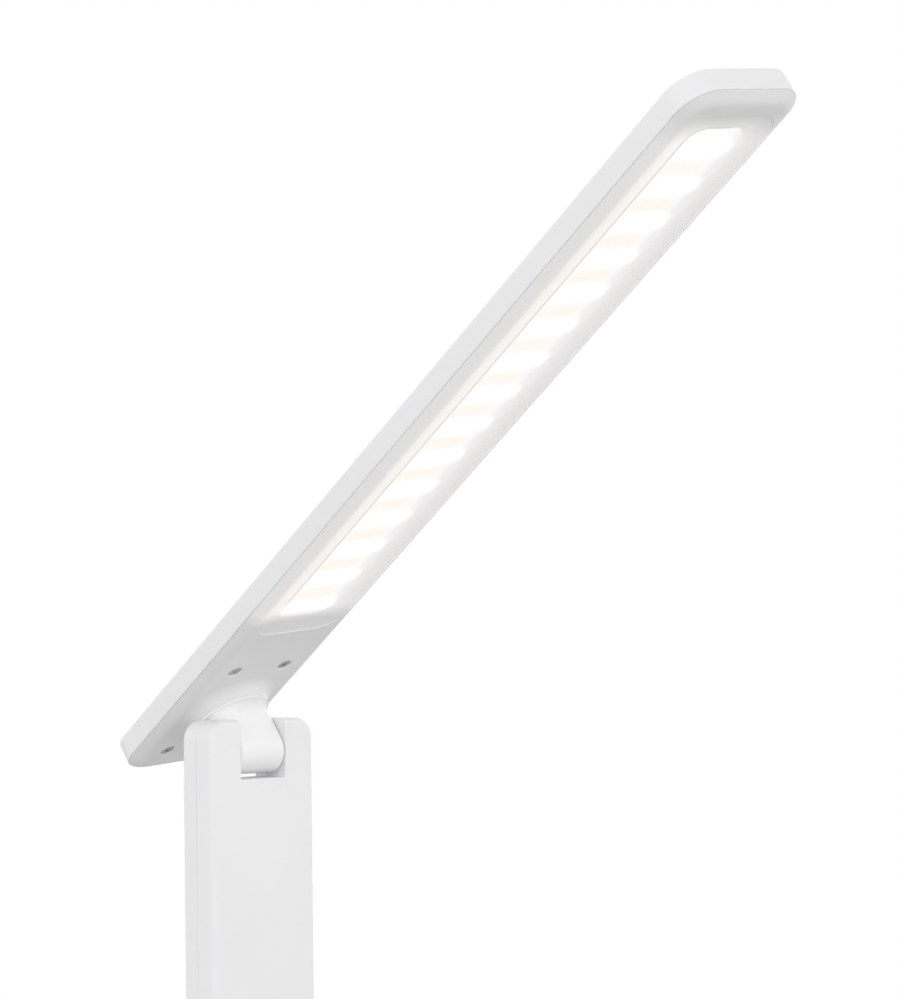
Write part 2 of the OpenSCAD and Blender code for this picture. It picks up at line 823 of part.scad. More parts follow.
module base_screws() {
    color(steel) for (p = base_screw_at) translate([p.x, p.y, base_z])
        screw(base_screw_l, head_t = base_screw_head_t);
}

module touch_panel() {
    color("white") translate([0, panel_y, base_top - panel_t]) linear_extrude(panel_t)
        round_rect(panel_w - 0.2, panel_d - 0.2, panel_corner - 0.1);
}

module sensor_board() {
    color(board_green) translate([-panel_w / 2, sensor_front, cover_in - circuit_t])
        cube([panel_w, sensor_d, circuit_t]);
}

module driver_board() {
    board_top = post_h + circuit_t;
    color(board_green) translate([-base_w / 2 + 28, base_d / 2 - 27, plate_top]) {
        translate([0, 0, post_h]) cube([driver_w, driver_d, circuit_t]);
        for (x = [3, driver_w - 3], y = [3, driver_d - 3]) translate([x, y, 0])
            cylinder(r = 2, h = post_h + eps);
        translate([8, 6, board_top - eps]) cube([9, 9, 5]);
        translate([24, 5, board_top - eps]) cube([6, 6, 2]);
        translate([driver_w - 8, 10, board_top - eps]) cube([6, 10, 6]);
    }
}

module power_inlet() {
    mouth = base_d / 2;
    color("black") translate([0, mouth, inlet_z]) rotate([90, 0, 0]) {
        difference() {
            union() {
                cylinder(r = inlet_nose_r, h = base_wall + 1);
                translate([-inlet_body_w / 2, -inlet_body_h / 2, base_wall])
                    cube([inlet_body_w, inlet_body_h, inlet_body_l]);
            }
            translate([0, 0, -eps]) cylinder(r = inlet_r, h = inlet_depth + eps);
        }
        translate([0, 0, 1]) cylinder(r = inlet_pin_r, h = inlet_depth);
    }
}

base_top_cover();
base_bottom_plate();
sole_pad();
counterweight();
weight_screws();
base_screws();
driver_board();
sensor_board();
touch_panel();
power_inlet();
hinge_stem();
stem_clamp_plate();
stem_screws();
stem_wire();
arm_front_shell();
arm_rear_shell();
arm_spine();
spine_screws();
arm_screws();
arm_wire();
fold_shaft();
fold_friction_washers();
fold_spring_washer();
fold_nut();
tilt_shaft();
tilt_friction_washers();
tilt_spring_washer();
tilt_nut();
knuckle();
swivel_stud();
swivel_spring_washer();
swivel_nut();
swivel_glide_ring();
swivel_bracket();
head_shell();
head_bezel();
head_screws();
diffuser();
led_board();
cool_leds();
warm_leds();
heat_spreader();
board_screws();
head_wire();
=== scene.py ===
import json
import math

import bmesh
import bpy
from bpy.props import FloatProperty, FloatVectorProperty, PointerProperty
from mathutils import Matrix, Vector


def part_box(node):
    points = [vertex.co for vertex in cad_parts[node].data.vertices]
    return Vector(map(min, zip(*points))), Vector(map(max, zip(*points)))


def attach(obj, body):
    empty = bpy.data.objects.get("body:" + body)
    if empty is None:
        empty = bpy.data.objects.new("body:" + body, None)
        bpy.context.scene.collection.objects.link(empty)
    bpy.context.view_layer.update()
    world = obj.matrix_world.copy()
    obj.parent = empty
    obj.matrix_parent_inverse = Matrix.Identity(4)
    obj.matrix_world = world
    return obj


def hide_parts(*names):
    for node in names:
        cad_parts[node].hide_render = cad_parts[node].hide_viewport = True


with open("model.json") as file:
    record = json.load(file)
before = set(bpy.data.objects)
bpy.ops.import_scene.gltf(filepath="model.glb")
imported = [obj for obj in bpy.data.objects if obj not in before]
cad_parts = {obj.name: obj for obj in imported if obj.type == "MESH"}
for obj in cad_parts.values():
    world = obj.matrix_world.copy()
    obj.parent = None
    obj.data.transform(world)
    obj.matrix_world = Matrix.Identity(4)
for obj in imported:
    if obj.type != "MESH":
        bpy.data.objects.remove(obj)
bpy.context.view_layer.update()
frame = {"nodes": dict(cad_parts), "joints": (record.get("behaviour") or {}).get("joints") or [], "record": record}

bl_info = {
    "name": "Folding Desk Lamp",
    "version": (1, 0, 0),
    "blender": (4, 5, 0),
    "location": "View3D > Sidebar > Desk Lamp",
    "description": "Builds the dressed pieces of a folding LED desk lamp around its packed frame",
    "category": "Add Mesh",
}

MM = 0.001
SMOOTH_ANGLE = math.radians(32)

# ---- places and sizes taken from the frame ------------------------------------


def middle(node):
    """Middle of a node's box."""
    low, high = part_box(node)
    return (low + high) / 2


def shaft_axis(node):
    """Point in the lamp's middle plane on a hinge shaft."""
    centre = middle(node)
    return Vector((0.0, centre.y, centre.z))


FOLD_AXIS = shaft_axis("fold_shaft")
TILT_AXIS = shaft_axis("tilt_shaft")
SWIVEL = next(j for j in frame["joints"] if j["name"] == "head_swivel")
HEAD_RISE = math.atan2(SWIVEL["axis"][1], SWIVEL["axis"][2])
SLOTS = {m["slot"]: tuple(m["base_color"]) for m in frame["record"]["materials"]}
BASE_LOW, BASE_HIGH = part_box("base_top_cover")
FRONT_LOW, FRONT_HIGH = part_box("arm_front_shell")
ARM_TOP = FRONT_HIGH.z - TILT_AXIS.z
ARM_FOOT = FRONT_LOW.z - TILT_AXIS.z
ARM_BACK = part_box("arm_rear_shell")[1].y
PANEL_LOW, PANEL_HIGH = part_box("touch_panel")
PANEL_Y = middle("touch_panel").y
MARK_LOW = PANEL_HIGH.z - 0.05 * MM
MARK_HIGH = PANEL_HIGH.z + 0.03 * MM
# Fixed sizes: the start of the LED row, the glide ring, the bezel's curves, bores and screws
FIRST_LED = 56.8 * MM
GLIDE_RING = 0.4 * MM
SLOPE_CORNER = 2.5 * MM
BEZEL_FOOT = 0.3 * MM
BEZEL_BLEND = 1.6 * MM
SHAFT_BORE = 2.56 * MM
SCREW_SHANK = 1.4 * MM
SCREW_HOLE = 1.45 * MM
SMALL_SCREW_HEAD = 2.16 * MM
SCREW_HEAD = 2.7 * MM
# Turns what is modelled lying down upright, its upper side to the front
UPRIGHT = Matrix.Rotation(math.pi / 2, 4, "X")
# Strength of the room's light at the horizon and overhead
HORIZON_LIGHT, OVERHEAD_LIGHT = 1.85, 0.12


def length(name, millimetres, text):
    """Property for a length, given in millimetres."""
    return FloatProperty(name=name, description=text, default=millimetres * MM, unit="LENGTH", min=0.0)


def shade(name, value, text):
    """Property for a colour."""
    return FloatVectorProperty(
        name=name, description=text, default=value, subtype="COLOR", size=3, min=0.0, max=1.0
    )


class LampSizes(bpy.types.PropertyGroup):
    """Sizes of the lamp's dressed pieces."""

    head_turn: FloatProperty(
        name="Head turn",
        description="Turn of the head on its knuckle",
        default=math.radians(-10.3),
        subtype="ANGLE",
    )
    head_length: length("Head length", 345, "Length of the head")
    head_tail: length("Head tail", 38, "Length of the head behind the swivel axis")
    head_width: length("Head width", 43.4, "Width of the head")
    head_side: length("Head side", 7, "Height of the head's side wall")
    head_corner: length("Head corner", 10.5, "Corner radius of the head, seen from below")
    head_edge: length("Head edge", 0.4, "Rounding of the head's top edge")
    head_wall: length("Head wall", 1.6, "Wall of the head shell")
    rim_height: length("Rim height", 19.1, "Head rim above the tilt shaft, along the swivel axis")
    bezel_proud: length("Bezel depth", 2.2, "How far the bezel stands below the rim")
    bezel_lap: length("Bezel lap", 0.45, "Strip of the shell's rim that the bezel leaves free")
    bezel_slope: length("Bezel slope", 3.4, "Width of the slope round the bezel's edge")
    window_start: length("Window start", 51.5, "Tail end of the window from the swivel axis")
    window_end: length("Window end", 291.5, "Tip end of the window from the swivel axis")
    window_width: length("Window width", 21, "Width of the window")
    window_corner: length("Window corner", 6, "Corner radius of the window")
    slope_width: length("Slope width", 6.9, "Width of the slope round the window")
    slope_depth: length("Slope depth", 1.65, "Depth of the slope at the window")
    flange_radius: length("Flange radius", 12.6, "Radius of the knuckle's flange")
    flange_height: length("Flange height", 13.5, "Top of the flange above the tilt shaft")
    collar_curve: length("Collar curve", 5, "Hollow curve from the flange out to the head's underside")
    barrel_radius: length("Barrel radius", 7.05, "Radius of the hinge barrels")
    barrel_half: length("Barrel half", 9.8, "Half the length of a hinge barrel")
    arm_corner: length("Arm corner", 6.5, "Corner radius of the arm, seen from the front")
    arm_edge: length("Arm edge", 2, "Rounding of the arm's long edges")
    arm_wall: length("Arm wall", 1.6, "Wall of the arm shells")
    notch_width: length("Notch width", 20.3, "Width of the notch at each end of the arm")
    notch_depth: length("Notch depth", 18.7, "Depth of the notch from the arm's end")
    base_corner: length("Base corner", 22, "Corner radius of the base")
    base_edge: length("Base edge", 4, "Rounding of the base's top edge")
    base_wall: length("Base wall", 2.2, "Wall of the base cover")
    led_pitch: length("LED pitch", 16.1, "Distance between two cool LEDs")
    grain: length("Grain", 0.35, "Size of the moulded grain")


class LampColours(bpy.types.PropertyGroup):
    """Colours and glow of the lamp."""

    shell: shade("Shell", SLOTS["white_shell"], "Satin shells of arm, head and base")
    moulding: shade("Moulding", SLOTS["white_moulding"], "Knuckle and bezel")
    gloss: shade("Touch panel", SLOTS["touch_gloss"], "Polished inlay")
    marks: shade("Panel marks", (0.30, 0.31, 0.33), "Printed marks on the inlay")
    cool_glow: shade("Cool glow", (0.80, 0.80, 0.785), "Light over a cool LED")
    warm_glow: shade("Warm glow", (0.785, 0.705, 0.645), "Light over a warm LED")
    glow: FloatProperty(
        name="Glow", description="Strength of the lamp's light", default=1.0, min=0.0, max=10.0
    )


def sizes():
    """The scene's lamp sizes."""
    return bpy.context.scene.lamp_sizes


def colours():
    """The scene's lamp colours."""
    return bpy.context.scene.lamp_colours


# ---- shapes -----------------------------------------------------------------


def flat_face(bm, way):
    """The flat face that looks up (1) or down (-1)."""
    bm.normal_update()
    return next(f for f in bm.faces if f.normal.z * way > 0.999)


def outward(bm):
    """Point all faces of a solid outwards."""
    bmesh.ops.recalc_face_normals(bm, faces=bm.faces)


def shift(bm, x=0.0, y=0.0, z=0.0):
    """Move a solid."""
    bmesh.ops.translate(bm, vec=(x, y, z), verts=bm.verts)


def plan(bm, points, height=0.0):
    """Flat face through a few corner points, and its vertices."""
    corners = [bm.verts.new((x, y, height)) for x, y in points]
    bm.faces.new(corners)
    return corners


def round_edges(bm, edges, radius, steps, affect="EDGES"):
    """Round edges of a solid."""
    bmesh.ops.bevel(
        bm, geom=edges, offset=radius, offset_type="OFFSET", segments=steps, profile=0.5,
        affect=affect, material=-1,
    )


def round_corners(bm, corners, radius, steps):
    """Round corner points in a flat plan."""
    round_edges(bm, corners, radius, steps, "VERTICES")


def ease(bm, way, radius, steps):
    """Round the edge of the flat face that looks up (1) or down (-1)."""
    round_edges(bm, list(flat_face(bm, way).edges), radius, steps)


def box_corners(long, wide, centre=0.0):
    """The four corner points of a rectangle, centred across and shifted along."""
    x, y = long / 2, wide / 2
    return [(centre - x, -y), (centre + x, -y), (centre + x, y), (centre - x, y)]


def pull(bm, face, depth):
    """Raise a flat face along its normal, and return the new face."""
    bm.normal_update()
    way = face.normal.copy()
    # A face alone stays as the bottom of the new solid; one of a solid would end up inside it
    inside = any(not e.is_boundary for e in face.edges)
    made = bmesh.ops.extrude_face_region(bm, geom=[face])["geom"]
    moved = [g for g in made if isinstance(g, bmesh.types.BMVert)]
    bmesh.ops.translate(bm, vec=way * depth, verts=moved)
    if inside:
        bmesh.ops.delete(bm, geom=[face], context="FACES_ONLY")
    return next(g for g in made if isinstance(g, bmesh.types.BMFace))


def slab(long, wide, low, high, corner, centre=0.0, steps=12):
    """Upright slab with round corners."""
    bm = bmesh.new()
    corners = plan(bm, box_corners(long, wide, centre), low)
    round_corners(bm, corners, corner, steps)
    bm.faces.ensure_lookup_table()
    pull(bm, bm.faces[0], high - low)
    outward(bm)
    return bm


def hollow(bm, wall, depth, radius, steps):
    """Hollow a solid from its flat underside, and ease the rim round the hollow."""
    under = flat_face(bm, -1)
    outline = list(under.edges)
    before = set(bm.faces)
    bmesh.ops.inset_region(bm, faces=[under], thickness=wall, use_even_offset=True, use_boundary=True)
    inner = under if under.is_valid else next(f for f in bm.faces if f not in before)
    pull(bm, inner, -depth)
    round_edges(bm, [e for e in outline if e.is_valid], radius, steps)
    outward(bm)


def reshape(face, old, new, centre):
    """Change a round-cornered face from one (long, wide, corner) to another."""
    for v in face.verts:
        x, y = v.co.x - centre, v.co.y
        away_x = (abs(x) - (old[0] / 2 - old[2])) / old[2]
        away_y = (abs(y) - (old[1] / 2 - old[2])) / old[2]
        v.co.x = centre + math.copysign(new[0] / 2 - new[2] + away_x * new[2], x)
        v.co.y = math.copysign(new[1] / 2 - new[2] + away_y * new[2], y)


def lathe(profile, steps):
    """Solid of revolution about Z from a list of (radius, height)."""
    bm = bmesh.new()
    verts = [bm.verts.new((r, 0.0, z)) for r, z in profile]
    edges = [bm.edges.new(pair) for pair in zip(verts, verts[1:])]
    bmesh.ops.spin(
        bm, geom=verts + edges, cent=(0, 0, 0), axis=(0, 0, 1), dvec=(0, 0, 0), angle=math.tau,
        steps=steps, use_merge=True, use_duplicate=False,
    )
    bmesh.ops.remove_doubles(bm, verts=bm.verts, dist=1e-7)
    bmesh.ops.dissolve_degenerate(bm, edges=bm.edges, dist=1e-7)
    outward(bm)
    return bm


def drum(radius, low, high, steps=40):
    """Plain round bar about Z, used for bores and bosses."""
    return lathe([(0.0, low), (radius, low), (radius, high), (0.0, high)], steps)


def cove(radius, curve, low, high, steps=12):
    """Profile points of a hollow curve from a radius at the bottom out to level at the top."""
    start = math.asin((curve - high + low) / curve)
    angles = [start + (math.pi / 2 - start) * i / steps for i in range(steps + 1)]
    middle_r = radius + curve * math.cos(start)
    return [(middle_r - curve * math.cos(a), high - curve * (1 - math.sin(a))) for a in angles]


def to_mesh(bm, name="part"):
    """Mesh of a solid, which is used up."""
    mesh = bpy.data.meshes.new(name)
    bm.to_mesh(mesh)
    bm.free()
    return mesh


def new_object(name, data):
    """Put an object in the scene."""
    obj = bpy.data.objects.new(name, data)
    bpy.context.scene.collection.objects.link(obj)
    return obj


def combine(bm, other, operation):
    """Join a second solid to the first (UNION), or cut it away (DIFFERENCE)."""
    work = new_object("work", to_mesh(bm))
    tool = new_object("tool", to_mesh(other))
    step = work.modifiers.new("combine", "BOOLEAN")
    step.operation = operation
    step.solver = "EXACT"
    step.object = tool
    result = bmesh.new()
    result.from_object(work, bpy.context.evaluated_depsgraph_get())
    for obj in (work, tool):
        mesh = obj.data
        bpy.data.objects.remove(obj)
        bpy.data.meshes.remove(mesh)
    if not result.faces:
        raise RuntimeError("combining two solids left nothing")
    bmesh.ops.remove_doubles(result, verts=result.verts, dist=1e-6)
    return result


def join(target, *others):
    """Put other solids in the same mesh, as loose parts."""
    for bm in others:
        mesh = to_mesh(bm)
        target.from_mesh(mesh)
        bpy.data.meshes.remove(mesh)
    return target


def place_all(bm, matrices):
    """Copies of one solid at several places, in one mesh."""
    mesh = to_mesh(bm)
    result = bmesh.new()
    for matrix in matrices:
        old = set(result.verts)
        result.from_mesh(mesh)
        bmesh.ops.transform(result, matrix=matrix, verts=[v for v in result.verts if v not in old])
    bpy.data.meshes.remove(mesh)
    return result


def at_spots(bm, spots, height=0.0):
    """Copies of one solid at several spots of a level plan, in one mesh."""
    return place_all(bm, [Matrix.Translation((x, y, height)) for x, y in spots])


def map_head_plan(bm):
    """Store each corner's place along and across the head as a map."""
    layer = bm.loops.layers.uv.new("head_plan")
    for face in bm.faces:
        for loop in face.loops:
            loop[layer].uv = loop.vert.co.xy


def piece(name, bm, body, slot, replaced=(), place=None, finish=None):
    """Finish a solid as one of the lamp's pieces, in its slot's finish or in one of its own."""
    if place is not None:
        bmesh.ops.transform(bm, matrix=place, verts=bm.verts)
    if not bm.faces:
        raise RuntimeError(f"{name} has no faces")
    mesh = to_mesh(bm, name)
    mesh.shade_smooth()
    mesh.set_sharp_from_angle(angle=SMOOTH_ANGLE)
    mesh.materials.append(finish_for(finish or slot))
    obj = new_object(name, mesh)
    even = obj.modifiers.new("even shading", "WEIGHTED_NORMAL")
    even.keep_sharp = True
    even.weight = 60
    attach(obj, body)
    if replaced:
        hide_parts(*replaced)


# ---- places -----------------------------------------------------------------


def knuckle_place():
    """Frame of the knuckle: Z along the swivel axis, -Y along the level head."""
    return Matrix.Translation(TILT_AXIS) @ Matrix.Rotation(-HEAD_RISE, 4, "X")


def head_place():
    """Frame of the head: X towards the tip, Z out of its top."""
    return knuckle_place() @ Matrix.Rotation(sizes().head_turn - math.pi / 2, 4, "Z")


def screw_places():
    """The four head screws, in the head's frame."""
    return [(x, y) for x in (-24.8 * MM, 22.8 * MM) for y in (-9.8 * MM, 9.8 * MM)]


def head_middle():
    """Middle of the head along its length, from the swivel axis."""
    s = sizes()
    return s.head_length / 2 - s.head_tail


def bezel_face():
    """Height of the bezel's flat face above the tilt shaft."""
    s = sizes()
    return s.rim_height - s.bezel_proud


def window_span():
    """Length of the window, and its middle along the head."""
    s = sizes()
    return s.window_end - s.window_start, (s.window_end + s.window_start) / 2


def head_outline(inset):
    """Length, width and corner of the head's outline, moved in."""
    s = sizes()
    return (s.head_length - 2 * inset, s.head_width - 2 * inset, s.head_corner - inset)


def slope_outline():
    """Length, width and corner of the slope's outer edge round the window."""
    s = sizes()
    slope = 2 * s.slope_width
    return (window_span()[0] + slope, s.window_width + slope, s.window_corner + SLOPE_CORNER)


# ---- materials ----------------------------------------------------------------


class Nodes:
    """Small helper that adds and links the nodes of a material or of the world."""

    def __init__(self, owner, shader="Principled BSDF"):
        # A plain name stands for a new material
        self.owner = bpy.data.materials.new(owner) if isinstance(owner, str) else owner
        self.owner.use_nodes = True
        self.tree = self.owner.node_tree
        self.shader = self.tree.nodes[shader]
        self.object = None

    def add(self, kind, **settings):
        """Add a node and set its options."""
        node = self.tree.nodes.new(kind)
        for key, value in settings.items():
            setattr(node, key, value)
        return node

    def link(self, source, target):
        """Join two sockets."""
        self.tree.links.new(source, target)

    def places(self):
        """Object coordinates, shared by all patterns."""
        if self.object is None:
            self.object = self.add("ShaderNodeTexCoord").outputs["Object"]
        return self.object

    def head_plan(self):
        """Places along and across the head, from the map the piece carries."""
        plan_map = self.add("ShaderNodeUVMap", uv_map="head_plan")
        split = self.add("ShaderNodeSeparateXYZ")
        self.link(plan_map.outputs["UV"], split.inputs["Vector"])
        return split.outputs["X"], split.outputs["Y"]

    def noise(self, size, detail, stretch=None, roughness=0.5):
        """Soft noise with features of a size in metres."""
        node = self.add("ShaderNodeTexNoise")
        node.inputs["Scale"].default_value = 1 / size
        node.inputs["Detail"].default_value = detail
        node.inputs["Roughness"].default_value = roughness
        source = self.places()
        if stretch is not None:
            mapping = self.add("ShaderNodeMapping")
            mapping.inputs["Scale"].default_value = stretch
            self.link(source, mapping.inputs["Vector"])
            source = mapping.outputs["Vector"]
        self.link(source, node.inputs["Vector"])
        return node.outputs["Fac"]

    def span(self, source, low, high, start=0.3, end=0.7):
        """Map a pattern to a range of values."""
        node = self.add("ShaderNodeMapRange")
        for socket, value in zip(("From Min", "From Max", "To Min", "To Max"), (start, end, low, high)):
            node.inputs[socket].default_value = value
        self.link(source, node.inputs["Value"])
        return node.outputs["Result"]

    def ramp(self, source, start, end, stops):
        """Colours along a pattern, as (place from 0 to 1, colour)."""
        node = self.add("ShaderNodeValToRGB")
        elements = node.color_ramp.elements
        while len(elements) < len(stops):
            elements.new(1.0)
        for element, (place, colour) in zip(elements, stops):
            element.position = place
            element.color = (*colour, 1.0)
        self.link(self.span(source, 0.0, 1.0, start, end), node.inputs["Fac"])
        return node.outputs["Color"]

    def blend(self, factor, first, second):
        """Mix two colours or sockets by a factor."""
        node = self.add("ShaderNodeMix", data_type="RGBA")
        self.link(factor, node.inputs["Factor"])
        for key, value in (("A", first), ("B", second)):
            socket = [s for s in node.inputs if s.name == key and s.type == "RGBA"][0]
            if isinstance(value, bpy.types.NodeSocket):
                self.link(value, socket)
            else:
                socket.default_value = (*value, 1.0)
        return [s for s in node.outputs if s.type == "RGBA"][0]

    def maths(self, operation, *values, clamp=False):
        """Arithmetic on sockets and numbers."""
        node = self.add("ShaderNodeMath", operation=operation, use_clamp=clamp)
        for socket, value in zip(node.inputs, values):
            if isinstance(value, bpy.types.NodeSocket):
                self.link(value, socket)
            else:
                socket.default_value = value
        return node.outputs["Value"]

    def beyond(self, value, limit):
        """How far a value lies outside plus or minus a limit."""
        return self.maths("MAXIMUM", self.maths("SUBTRACT", self.maths("ABSOLUTE", value), limit), 0.0)

    def relief(self, height, strength, distance):
        """Bump the surface by a height pattern."""
        node = self.add("ShaderNodeBump")
        node.inputs["Strength"].default_value = strength
        node.inputs["Distance"].default_value = distance
        self.link(height, node.inputs["Height"])
        self.link(node.outputs["Normal"], self.shader.inputs["Normal"])

    def paint(self, colour):
        """Colour the surface from a socket."""
        self.link(colour, self.shader.inputs["Base Color"])

    def sheen(self, pattern, low, high):
        """Let a pattern move the roughness between two values."""
        self.link(self.span(pattern, low, high), self.shader.inputs["Roughness"])

    def set(self, **values):
        """Set plain values on the shader."""
        for key, value in values.items():
            self.shader.inputs[key.replace("_", " ")].default_value = value


def tint(colour, factor):
    """A colour made darker or lighter."""
    return tuple(min(1.0, c * factor) for c in colour)


def moulded_plastic(name, colour, roughness, grain, strength=0.12):
    """Moulded plastic: fine grain, faint flow marks and uneven sheen."""
    n = Nodes(name)
    cloud = n.noise(0.045, 2.0)
    flow = n.noise(0.012, 3.0, stretch=(1.0, 1.0, 0.35))
    fine = n.noise(grain, 3.0, roughness=0.65)
    base = n.blend(n.span(cloud, 0.0, 1.0), tint(colour, 0.985), colour)
    base = n.blend(n.span(fine, 0.0, 0.035, 0.35, 0.65), base, tint(colour, 0.9))
    n.paint(base)
    n.sheen(flow, roughness - 0.035, roughness + 0.035)
    n.relief(fine, strength, grain * 0.25)
    return n.owner


def polished_plastic(name, colour):
    """Polished inlay under a clear coat, with the faintest waviness."""
    n = Nodes(name)
    wave = n.noise(0.02, 1.0)
    smear = n.noise(0.008, 4.0)
    n.paint(n.blend(n.span(wave, 0.0, 1.0), tint(colour, 0.98), colour))
    n.sheen(smear, 0.10, 0.17)
    n.relief(wave, 0.05, 0.0002)
    n.set(Coat_Weight=0.5, Coat_Roughness=0.06)
    return n.owner


def sheet_metal(name, colour, roughness, stretch):
    """Plated or mill-finished metal with drawn streaks."""
    n = Nodes(name)
    lines = n.noise(0.6 * MM, 3.0, stretch=stretch)
    patches = n.noise(0.006, 3.0)
    base = n.blend(n.span(patches, 0.0, 1.0), tint(colour, 0.9), colour)
    base = n.blend(n.span(lines, 0.0, 0.25), base, tint(colour, 0.75))
    n.paint(base)
    n.sheen(lines, roughness - 0.08, roughness + 0.08)
    n.relief(lines, 0.1, 0.00005)
    n.set(Metallic=1.0)
    return n.owner


def soft_rubber(name, colour, grain):
    """Matt rubber with a pebbled skin and dust in its hollows."""
    n = Nodes(name)
    pebble = n.add("ShaderNodeTexVoronoi", feature="SMOOTH_F1")
    pebble.inputs["Scale"].default_value = 1 / grain
    n.link(n.places(), pebble.inputs["Vector"])
    dust = n.noise(0.01, 4.0)
    n.paint(n.blend(n.span(dust, 0.0, 0.3), colour, tint(colour, 1.5)))
    n.sheen(dust, 0.75, 0.9)
    n.relief(pebble.outputs["Distance"], 0.3, grain * 0.3)
    n.set(Specular_IOR_Level=0.3)
    return n.owner


def circuit_mask(name, colour, copper):
    """Solder mask over tracks."""
    n = Nodes(name)
    tracks = n.add("ShaderNodeTexBrick", offset=0.37, squash=0.6)
    settings = {
        "Scale": 120.0, "Mortar Size": 0.05, "Brick Width": 0.9, "Row Height": 0.22,
        "Color1": (*tint(colour, 1.25), 1.0), "Color2": (*colour, 1.0), "Mortar": (*copper, 1.0),
    }
    for key, value in settings.items():
        tracks.inputs[key].default_value = value
    n.link(n.places(), tracks.inputs["Vector"])
    speck = n.noise(0.0008, 2.0)
    mask = n.blend(n.span(speck, 0.0, 0.2), tracks.outputs["Color"], colour)
    n.paint(mask)
    n.sheen(speck, 0.3, 0.42)
    n.relief(tracks.outputs["Fac"], 0.2, 0.00004)
    return n.owner


def led_lens(name, colour):
    """Lens of an LED over its die."""
    n = Nodes(name)
    die = n.noise(0.0006, 1.0)
    n.paint(n.blend(n.span(die, 0.0, 1.0), tint(colour, 0.8), colour))
    n.sheen(die, 0.15, 0.3)
    n.set(Coat_Weight=0.4)
    return n.owner


def printed_mark(name, colour):
    """Screen-printed ink."""
    n = Nodes(name)
    ink = n.noise(0.0005, 3.0)
    n.paint(n.blend(n.span(ink, 0.0, 1.0), tint(colour, 0.9), colour))
    n.sheen(ink, 0.4, 0.55)
    n.relief(ink, 0.05, 0.00002)
    return n.owner


def lit_diffuser(name, glow):
    """Frosted sheet lit by a row of cool and warm LEDs behind it."""
    look = colours()
    s = sizes()
    n = Nodes(name)
    along, across = n.head_plan()
    # 1 over a cool LED, 0 midway between two
    turn = n.maths("MULTIPLY", n.maths("SUBTRACT", along, FIRST_LED), math.tau / s.led_pitch)
    wave = n.maths("COSINE", turn)
    # Bands of light with round ends towards the head's right side
    reach = n.maths("ADD", across, n.maths("MULTIPLY", wave, -2.6 * MM))
    band = n.span(wave, 0.0, 1.0, -0.75, 0.75)
    cool = n.maths("MULTIPLY", band, n.span(reach, 1.0, 0.0, 6.2 * MM, 10.2 * MM), clamp=True)
    between = n.maths("SUBTRACT", 1.0, band)
    warm = n.maths("MULTIPLY", between, n.span(across, 1.0, 0.0, 3.5 * MM, 8.5 * MM), clamp=True)
    spill = n.ramp(
        across,
        -10.5 * MM,
        10.5 * MM,
        (
            (0.0, (0.765, 0.75, 0.72)),
            (0.68, (0.755, 0.745, 0.73)),
            (0.80, (0.73, 0.725, 0.72)),
            (0.88, (0.68, 0.675, 0.68)),
            (0.95, (0.64, 0.635, 0.64)),
            (1.0, (0.62, 0.61, 0.61)),
        ),
    )
    warm = n.maths("MULTIPLY", warm, n.span(along, 1.0, 0.0, 283 * MM, 287 * MM))
    light = n.blend(warm, spill, tuple(look.warm_glow))
    light = n.blend(cool, light, tuple(look.cool_glow))
    # A plain strip along the left edge, and a soft start at the tail end
    light = n.blend(n.span(across, 1.0, 0.0, -9.9 * MM, -9.1 * MM), light, (0.765, 0.75, 0.72))
    light = n.blend(n.span(along, 0.0, 1.0, 50.0 * MM, 54.5 * MM), (0.45, 0.44, 0.43), light)
    # Painted shade: a dark line painted into the sheet's light along the window's left and tip edges, where the
    # edge shades it, but not along its right side
    long, centre = window_span()
    beyond_x = n.beyond(n.maths("SUBTRACT", along, centre), long / 2 - s.window_corner)
    beyond_y = n.beyond(across, s.window_width / 2 - s.window_corner)
    square_x = n.maths("MULTIPLY", beyond_x, beyond_x)
    square_y = n.maths("MULTIPLY", beyond_y, beyond_y)
    reach_out = n.maths("SQRT", n.maths("ADD", square_x, square_y))
    rim = n.span(reach_out, 0.0, 1.0, s.window_corner - 0.75 * MM, s.window_corner - 0.45 * MM)
    shown = n.span(across, 1.0, 0.0, 3 * MM, 7 * MM)
    tipwards = n.span(along, 0.0, 1.0, 56 * MM, 62 * MM)
    painted_edge_shade = n.maths("MULTIPLY", n.maths("MULTIPLY", rim, shown), tipwards)
    light = n.blend(painted_edge_shade, light, (0.42, 0.41, 0.40))
    n.link(light, n.shader.inputs["Emission Color"])
    frost = n.noise(0.4 * MM, 2.0)
    sheet = n.blend(n.span(frost, 0.0, 1.0), (0.29, 0.29, 0.30), (0.31, 0.31, 0.32))
    n.paint(sheet)
    n.sheen(frost, 0.45, 0.55)
    n.relief(frost, 0.05, 0.05 * MM)
    n.set(Emission_Strength=glow)
    return n.owner


